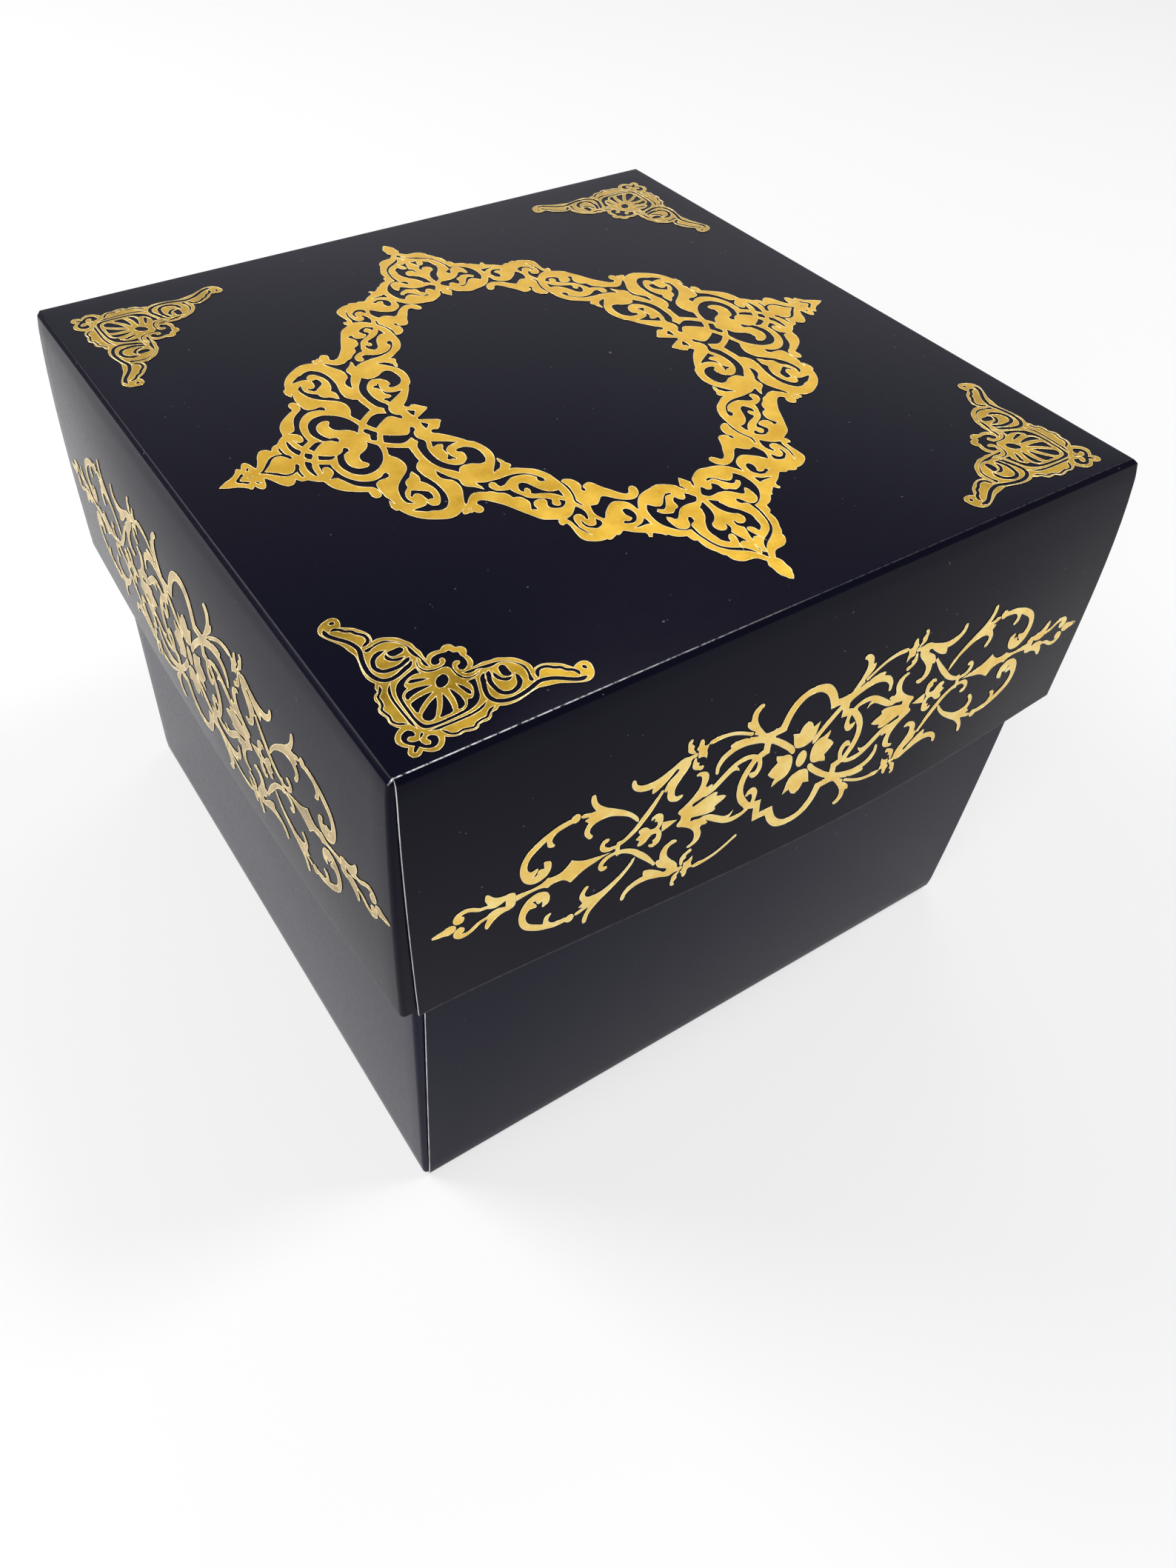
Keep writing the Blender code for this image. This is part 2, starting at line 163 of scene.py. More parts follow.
# A corner piece, measured from the lid's near left corner. It is mirrored about its diagonal,
# which starts at CORNER_START, so the half along the left edge is listed.
CORNER_START = (3.3, 1.7)
CORNER_REACH = 46.45
CORNER_SIZE = 0.98
CORNER_NUDGES = {"front_left": (0.0005, -0.0007), "front_right": (0.0005, 0.0001),
                 "back_right": (0.0003, 0.0), "back_left": (0.0003, -0.0006)}
CORNER_EDGE = [
    (3.68, 2.08), (3.52, 2.6), (3.95, 3.27, SHARP), (3.52, 3.72), (3.28, 4.2), (3.41, 4.92),
    (3.92, 5.51), (4.5, 5.86, SHARP), (4.2, 6.2), (3.93, 6.92), (4.0, 7.64), (3.79, 8.36), (3.84, 9.0),
    (4.22, 9.48), (4.18, 10.28), (4.4, 10.8), (4.88, 11.16), (4.96, 11.72), (5.28, 12.2, SHARP),
    (5.02, 12.76), (4.91, 13.8), (5.04, 14.76), (5.28, 15.72), (5.44, 16.68, SHARP), (5.2, 17.64),
    (4.96, 18.68), (4.48, 19.64), (4.0, 20.6), (3.81, 21.32), (3.95, 21.96), (4.4, 22.47), (5.2, 22.82),
    (5.81, 22.87), (6.22, 22.57), (6.32, 22.04), (6.2, 21.56), (5.97, 21.16, SHARP), (6.4, 20.85),
    (6.95, 20.45), (7.4, 19.85), (7.79, 19.16), (7.94, 18.6), (7.88, 18.04), (7.73, 17.61, SHARP),
    (8.4, 17.69), (9.28, 17.35), (10.08, 16.76), (10.56, 15.96), (10.85, 15.4), (10.92, 14.6),
    (11.06, 13.88), (10.98, 13.1), (11.0, 12.55, SHARP), (11.44, 13.03), (12.16, 13.19),
    (12.85, 13.05, SHARP), (13.23, 13.35), (13.68, 13.42), (14.11, 13.13), (14.26, 12.66),
]
# Gaps that cross the diagonal: the knot at the corner, the petal and eye of the shell, the
# trefoil at the inner end, and both sides of the band round the shell
CORNER_CROSSING_GAPS = [
    [(4.05, 2.45), (4.2, 2.9), (4.45, 3.2, SHARP), (4.0, 3.64), (3.76, 4.2), (3.9, 4.8), (4.4, 5.22),
     (4.88, 5.28), (5.22, 4.98), (5.3, 4.55), (5.04, 4.27), (4.6, 4.42), (4.32, 4.2), (4.48, 3.85),
     (4.96, 3.66), (5.5, 3.78), (5.95, 4.35)],
    [(6.98, 5.38), (6.81, 5.88), (7.05, 6.38), (7.6, 6.8), (8.4, 7.34), (9.4, 7.8, SHARP)],
    [(10.15, 8.55), (10.1, 9.2), (10.5, 9.78), (11.1, 10.06), (11.55, 9.95)],
    [(13.78, 12.18), (13.55, 12.62), (13.05, 12.6, SHARP), (12.4, 12.74), (11.7, 12.62), (11.3, 12.28),
     (11.15, 11.65), (11.6, 11.42), (12.0, 11.6), (12.12, 11.92), (12.38, 12.02), (12.55, 11.75),
     (12.38, 11.35), (12.0, 11.12), (11.4, 11.05), (10.72, 11.15), (10.16, 11.52), (9.98, 12.1),
     (10.08, 12.65), (10.3, 13.2, SHARP), (9.85, 12.6), (9.76, 11.9), (9.95, 11.3), (10.5, 10.88),
     (11.4, 10.78), (11.9, 10.8), (12.22, 10.62)],
]
CORNER_BAND_OUTSIDE = [
    (9.6, 12.22, SHARP), (9.0, 12.04), (8.04, 11.68), (7.2, 11.3), (6.57, 10.66), (6.21, 9.82),
    (6.05, 8.84), (5.97, 7.4), (5.97, 5.8), (6.08, 5.02), (6.28, 4.7),
]
CORNER_BAND_INSIDE = [
    (9.6, 11.25, SHARP), (8.96, 11.36), (8.34, 11.22), (7.76, 10.88), (7.48, 10.5), (7.54, 10.06, SHARP),
    (6.94, 9.72), (6.58, 9.28), (6.46, 8.64), (6.39, 7.4), (6.42, 5.8), (6.7, 5.1),
]
CORNER_GAPS = [
    [(7.84, 10.72, SHARP), (8.24, 10.96), (8.8, 10.84), (9.52, 10.52), (9.92, 10.2, SHARP),
     (9.36, 10.2), (8.64, 10.34), (8.08, 10.5)],
    [(6.8, 9.24), (7.12, 9.62), (7.76, 9.78), (8.56, 9.72), (9.52, 9.4), (9.7, 9.24, SHARP),
     (8.88, 9.16), (8.08, 9.08), (7.28, 8.86), (6.8, 8.7)],
    [(6.8, 8.12), (7.28, 8.34), (8.08, 8.5), (9.04, 8.52), (9.46, 8.42, SHARP), (8.72, 8.04),
     (7.92, 7.56), (7.2, 7.02), (6.82, 6.7), (6.68, 7.4)],
    [(6.4, 16.8), (7.2, 17.06), (8.1, 17.25), (8.9, 17.1), (9.6, 16.55), (10.2, 15.8), (10.52, 14.9),
     (10.64, 14.0), (10.76, 13.0), (10.82, 12.2), (10.86, 11.5, SHARP), (10.52, 11.78), (10.38, 12.4),
     (10.5, 13.0), (10.25, 13.55, SHARP), (10.12, 14.0), (10.1, 14.6), (10.2, 15.2), (10.0, 15.8),
     (9.6, 16.3), (9.0, 16.72), (8.2, 16.9), (7.4, 16.76), (6.6, 16.5)],
    [(8.22, 15.5), (8.88, 15.58), (9.66, 15.52), (9.87, 15.28), (9.74, 14.84), (9.04, 14.62),
     (8.48, 14.64), (8.18, 15.0)],
    [(5.22, 22.2), (5.55, 22.4), (5.85, 22.2), (5.75, 21.92), (5.4, 21.92)],
]
CORNER_STROKES = [
    (0.58, [(4.4, 21.8), (4.33, 21.24), (4.43, 20.68), (4.8, 20.04), (5.28, 19.4), (5.71, 18.73),
            (5.97, 18.04), (6.1, 17.4), (6.0, 16.85), (5.78, 16.2), (5.55, 15.3), (5.42, 14.5),
            (5.4, 13.8), (5.58, 12.95), (6.0, 12.3), (6.56, 12.02), (7.28, 12.05), (8.4, 12.44),
            (9.36, 12.92), (9.84, 13.32)]),
    (0.46, [(4.75, 21.1), (5.2, 21.2), (5.71, 20.97), (6.13, 20.39), (6.64, 20.07), (6.93, 19.53),
            (7.36, 19.05), (7.55, 18.52), (7.44, 17.96), (6.96, 17.6), (6.4, 17.4)]),
    (0.58, [(8.3, 15.82), (7.52, 15.8), (6.77, 15.43), (6.32, 14.76), (6.24, 13.96), (6.64, 13.35),
            (7.52, 13.13), (8.56, 13.19), (9.44, 13.56), (9.85, 13.85)]),
    (0.46, [(8.05, 15.5), (7.86, 14.9), (8.2, 14.28), (8.9, 14.02), (9.5, 14.1)]),
    (0.36, [(6.5, 11.62), (5.98, 10.84), (5.68, 9.8), (5.6, 8.2), (5.62, 6.6), (5.66, 5.7),
            (5.78, 5.0)]),
    (0.34, [(5.45, 11.9), (5.32, 11.4), (4.97, 10.88), (4.62, 10.5), (4.57, 9.9), (4.42, 9.25),
            (4.12, 8.85), (4.2, 8.2), (4.32, 7.65), (4.22, 7.0), (4.47, 6.5), (5.0, 6.15), (5.4, 5.9)]),
]

# The medallion's near left quarter, as read off the crowned panel: hundredths to the left and to
# the front of its centre. EVEN_OUT says how far a crowned middle looks pushed aside there, so
# that the quarter mirrors cleanly. Quarters start on the front tip's axis and end on the side's.
EVEN_OUT = (1.25, 1.8, 0.029, 46)
MEDALLION_EDGE = [
    (0, 44.6, SHARP), (0.17, 44.2), (0.28, 43.85), (0.49, 43.35), (0.53, 42.95), (0.46, 42.5),
    (0.45, 42.05), (0.45, 41.6), (0.27, 41.15), (0.1, 40.85), (0.3, 40.45), (0.5, 40.1), (0.88, 39.8),
    (1.5, 39.7), (2.1, 39.65), (2.5, 39.42), (2.82, 39.05), (3.02, 38.65), (3.07, 38.25),
    (3.05, 37.95, SHARP), (3.3, 37.68), (3.46, 37.3), (3.6, 36.85), (3.85, 36.35), (4.0, 35.9),
    (4.08, 35.4), (4.08, 34.8), (4.05, 34.2, SHARP), (4.28, 34.2), (4.46, 33.95), (4.53, 33.5),
    (4.57, 33.08, SHARP), (5.0, 32.95), (5.5, 32.68), (5.9, 32.25), (6.15, 31.9), (6.45, 31.88, SHARP),
    (6.62, 31.55), (7.0, 31.18), (7.43, 30.88), (7.68, 31.15), (7.9, 31.42, SHARP),
    (8.15, 31.25, SHARP), (8.0, 30.85), (8.05, 30.45, SHARP), (8.5, 30.15), (9.0, 29.8), (9.5, 29.3),
    (9.9, 28.95, SHARP), (10.15, 29.1), (10.5, 29.32), (10.75, 29.38), (10.9, 29.2, SHARP),
    (11.3, 29.4), (11.7, 29.6), (12.1, 29.6), (12.22, 29.35, SHARP), (12.8, 29.38), (13.4, 29.2),
    (13.9, 28.9), (14.3, 28.55), (14.55, 28.0), (14.55, 27.4), (14.5, 26.8), (14.4, 26.2),
    (14.33, 25.6), (14.33, 25.05, SHARP), (14.67, 24.95), (14.94, 25.06), (15.07, 24.83),
    (15.05, 24.5), (14.92, 24.17), (14.72, 24.0, SHARP), (15.22, 23.72), (15.78, 23.42),
    (16.22, 23.09), (16.56, 22.61), (16.89, 21.94), (17.33, 21.11), (17.7, 20.35), (18.1, 19.5),
    (18.45, 18.83), (18.95, 18.1), (19.5, 17.4), (19.95, 16.98), (20.35, 16.82), (20.7, 16.87),
    (21.03, 17.3, SHARP), (20.83, 17.8), (20.85, 18.45), (21.4, 18.86), (21.73, 18.64),
    (21.97, 18.23, SHARP), (22.25, 18.4), (22.55, 18.23, SHARP), (22.85, 18.36), (23.14, 18.1),
    (22.68, 17.36, SHARP), (23.14, 17.66), (23.68, 17.97), (24.36, 18.16), (25.0, 18.14),
    (25.68, 17.88), (26.4, 17.5), (27.14, 17.0), (28.15, 15.9), (28.75, 14.6), (28.86, 14.18, SHARP),
    (29.06, 14.23), (29.27, 13.86), (29.34, 13.32), (29.03, 12.27, SHARP), (28.7, 12.95, SHARP),
    (28.77, 12.14), (28.97, 11.3), (28.95, 10.5), (28.92, 9.5), (28.75, 8.75), (28.4, 8.4),
    (27.9, 8.22), (27.05, 8.18), (26.73, 7.9), (26.64, 7.5), (26.8, 7.15), (27.1, 7.23), (27.45, 7.55),
    (28.05, 7.82), (28.6, 7.92), (29.5, 7.68), (30.1, 7.25), (30.6, 6.7), (31.0, 6.0), (31.28, 5.2),
    (31.43, 4.2), (31.47, 3.3), (31.4, 2.75, SHARP), (32.0, 2.4), (32.65, 2.07, SHARP), (32.85, 3.0),
    (33.0, 4.0, SHARP), (32.8, 3.7), (32.68, 3.28), (32.4, 3.03), (32.05, 3.1), (31.87, 3.5),
    (31.82, 4.0), (31.95, 4.55), (32.3, 4.95), (32.85, 5.5, SHARP), (32.4, 5.5), (32.05, 5.6),
    (31.8, 6.0), (31.55, 6.6), (31.3, 7.2), (30.9, 7.9), (30.4, 8.4), (29.9, 8.75), (29.4, 9.1),
    (29.15, 9.6), (29.08, 10.1), (29.15, 10.6), (29.4, 11.0), (29.75, 11.12), (30.05, 10.95),
    (30.22, 10.5), (30.18, 10.0), (30.2, 9.6), (30.8, 9.25), (31.5, 8.8), (32.3, 8.25), (32.9, 7.6),
    (33.3, 6.8), (33.45, 6.0), (33.6, 5.45, SHARP), (34.2, 5.1), (34.65, 4.65), (35.0, 4.35, SHARP),
    (35.5, 4.3), (35.85, 4.0), (36.1, 3.5, SHARP), (36.4, 4.0), (36.8, 4.35), (37.2, 4.45),
    (37.65, 4.15), (38.05, 3.6), (38.35, 2.9), (38.7, 2.2), (39.1, 1.65, SHARP), (39.3, 2.2),
    (39.5, 3.0), (39.75, 3.45), (40.0, 3.6), (40.3, 3.35), (40.7, 2.55, SHARP), (40.9, 2.85),
    (41.15, 3.05), (41.4, 2.7), (41.9, 2.2), (42.6, 1.85), (43.4, 1.6), (44.25, 0, SHARP),
]
MEDALLION_OPENING = [
    (0, 23.85, SHARP), (-0.8, 24.4), (-0.45, 25.1, SHARP), (-0.58, 25.6), (-0.62, 26.12, SHARP),
    (-0.35, 25.8), (-0.15, 25.4), (0.05, 24.85), (0.4, 24.5), (0.8, 24.2), (1.3, 23.9), (1.8, 23.72),
    (2.3, 23.75), (2.8, 23.9), (3.5, 24.05), (4.05, 24.22), (4.6, 24.5), (5.0, 24.85), (5.35, 25.25),
    (5.7, 25.75), (6.0, 26.25), (6.27, 26.7, SHARP), (6.35, 26.2), (6.37, 25.6), (6.48, 25.1),
    (6.7, 24.75), (7.1, 24.4), (7.6, 24.15), (8.0, 24.12), (8.5, 24.35), (9.0, 24.75), (9.5, 25.2),
    (9.9, 25.7), (10.2, 26.1), (10.43, 26.25), (10.62, 25.95), (10.8, 25.45), (10.88, 25.0),
    (10.8, 24.5), (10.62, 23.95), (10.43, 23.42, SHARP), (10.05, 23.52), (9.65, 23.58), (9.2, 23.3),
    (8.8, 22.9), (8.4, 22.57), (7.95, 22.75), (7.55, 23.2), (7.2, 23.65), (6.85, 24.0), (6.4, 24.35),
    (6.0, 24.55), (5.5, 24.65), (5.0, 24.5), (4.65, 24.22), (4.35, 23.85), (4.2, 23.45), (4.12, 23.0),
    (4.2, 22.7), (4.5, 22.5), (4.8, 22.7), (5.1, 23.1), (5.3, 23.42), (5.65, 23.52), (6.1, 23.2),
    (6.44, 22.67), (6.8, 22.0), (7.22, 21.33), (7.56, 20.56), (7.85, 19.9), (8.22, 19.64),
    (8.75, 19.78), (9.08, 20.05), (9.1, 20.62), (9.36, 20.87), (9.6, 20.67), (9.53, 20.28),
    (9.26, 19.9), (9.17, 19.33), (9.24, 18.78), (9.44, 18.33), (9.83, 17.98), (10.33, 17.83),
    (10.64, 18.06, SHARP), (10.5, 18.67), (10.45, 19.33), (10.54, 20.0), (10.7, 20.67),
    (10.92, 21.33), (11.13, 21.89), (11.08, 22.44), (11.02, 23.0), (11.18, 23.2, SHARP),
    (11.33, 22.67), (11.5, 22.11), (11.4, 21.67), (11.12, 21.0), (10.92, 20.22), (10.83, 19.33),
    (10.87, 18.22), (10.93, 17.44), (11.0, 16.78), (11.13, 16.11), (11.4, 15.44), (11.75, 14.83),
    (12.12, 14.39), (12.67, 14.0), (13.1, 13.72), (13.5, 13.45), (13.95, 13.2), (14.4, 13.2, SHARP),
    (14.2, 12.95), (13.86, 12.6), (13.88, 12.2), (14.1, 11.86), (14.2, 11.2), (14.5, 10.64, SHARP),
    (14.64, 11.14), (14.6, 11.6), (14.8, 11.95), (15.2, 12.5), (15.9, 12.8), (16.25, 13.05, SHARP),
    (16.15, 12.65), (15.7, 12.0), (15.2, 11.3), (14.86, 10.77), (14.55, 10.05), (14.38, 8.95),
    (14.5, 7.86), (14.75, 7.05), (15.05, 6.4), (15.45, 6.05), (15.88, 5.32), (16.5, 4.41),
    (17.14, 3.59), (17.68, 3.0), (18.23, 2.5), (18.25, 2.2), (17.86, 1.82), (17.36, 2.05, SHARP),
    (17.0, 1.82), (16.6, 1.27), (16.05, 0.55, SHARP), (16.23, 0.27), (16.86, -0.09), (17.5, -0.45),
    (18.3, 0),
]
# Gaps that cross the axis to the side, from axis to axis: between the big curls, the diamond,
# round the pointed leaf, and two little ones in the finial
SIDE_AXIS_GAPS = [
    [(23.75, 0), (24.1, 0.05), (24.3, 0.5), (24.6, 0.95, SHARP), (25.1, 0.55), (25.0, -0.05), (24.8, 0)],
    [(32.28, 0), (32.55, 0.5), (32.9, 0.9, SHARP), (33.25, 0.5), (33.35, 0)],
    [(39.25, 0, SHARP), (38.7, 0.95), (38.1, 1.5), (37.5, 2.1), (37.0, 2.5), (36.4, 2.65),
     (35.8, 2.55), (35.35, 2.35, SHARP), (35.4, 2.8), (35.35, 3.5, SHARP), (35.0, 3.65, SHARP),
     (35.0, 2.7), (34.9, 2.0), (34.65, 1.55), (34.55, 1.15), (34.75, 0.82), (34.95, 0.9), (35.2, 1.4),
     (35.5, 1.9), (35.9, 2.2), (36.4, 2.25), (37.0, 1.85), (37.4, 1.4), (38.0, 0.95), (38.5, 0, SHARP)],
    [(40.1, 0), (40.4, 0.85), (40.7, 0)],
    [(42.2, 0), (41.6, 1.55), (41.05, 1.92), (40.8, 1.7), (41.2, 1.3), (41.65, 0)],
]
# The gap that crosses the axis to the front: round the inner stems, down into the ring
FRONT_AXIS_GAPS = [
    [(0, 40.5, SHARP), (-0.3, 40.0), (-0.05, 39.4), (0.3, 38.9), (0.8, 38.4), (1.3, 38.05),
     (1.8, 37.7), (2.3, 37.3), (2.7, 36.8), (3.0, 36.3), (3.15, 35.8), (3.3, 35.2), (3.4, 34.5),
     (3.5, 33.7), (3.52, 33.0), (3.5, 32.4, SHARP), (4.0, 32.28), (4.4, 32.05), (4.9, 31.6),
     (5.3, 31.05), (5.6, 30.5), (5.8, 29.8), (5.85, 28.9), (5.75, 28.0), (5.55, 27.2), (5.2, 26.6),
     (4.9, 26.2, SHARP), (4.6, 26.6), (4.2, 27.05), (3.85, 27.2), (3.5, 27.1), (3.1, 26.7), (2.7, 26.2),
     (2.3, 25.8), (1.9, 25.55), (1.5, 25.62), (1.3, 25.85), (1.5, 26.02), (1.9, 25.95), (2.2, 26.05),
     (2.6, 26.6), (3.0, 27.2), (3.4, 27.7), (3.8, 27.95), (4.15, 27.8), (4.4, 27.58, SHARP),
     (4.68, 27.9, SHARP), (4.5, 28.3), (4.2, 28.6), (3.8, 28.82), (3.4, 28.9), (3.05, 28.75),
     (2.72, 28.42, SHARP), (2.4, 28.38), (2.15, 28.1), (2.1, 27.7), (2.05, 27.2), (1.8, 26.8),
     (1.42, 26.5, SHARP), (1.28, 26.85), (1.1, 27.2), (0.8, 27.4), (0.5, 27.25), (0.3, 26.9),
     (0.15, 26.4, SHARP), (-0.2, 26.7), (-0.5, 27.2), (-0.7, 27.7), (-0.5, 28.1), (-0.1, 28.45),
     (0.4, 28.48), (1.0, 28.42), (1.6, 28.5), (2.1, 28.68), (2.5, 29.0), (2.9, 29.45), (3.3, 29.9),
     (3.6, 30.1), (3.9, 30.0), (4.1, 29.6), (4.4, 29.25, SHARP), (4.58, 29.6), (4.65, 30.2),
     (4.65, 30.8), (4.55, 31.4), (4.2, 31.85), (3.8, 32.0), (3.4, 31.9), (3.1, 31.6), (2.9, 31.2),
     (2.75, 30.8), (2.5, 30.45), (2.25, 30.35), (2.08, 30.6), (2.1, 31.0), (2.3, 31.35), (2.65, 31.52),
     (2.9, 31.7), (3.02, 31.98), (3.05, 32.4), (3.12, 33.0), (3.15, 33.6), (3.08, 34.2), (3.0, 34.9),
     (2.88, 35.5), (2.7, 36.0), (2.4, 36.5), (2.0, 36.9), (1.4, 37.3), (0.8, 37.65), (0.4, 38.05),
     (0.1, 38.6), (-0.05, 39.2), (-0.15, 39.6, SHARP), (-0.48, 39.3), (-0.52, 38.7), (0, 38.0, SHARP)],
]
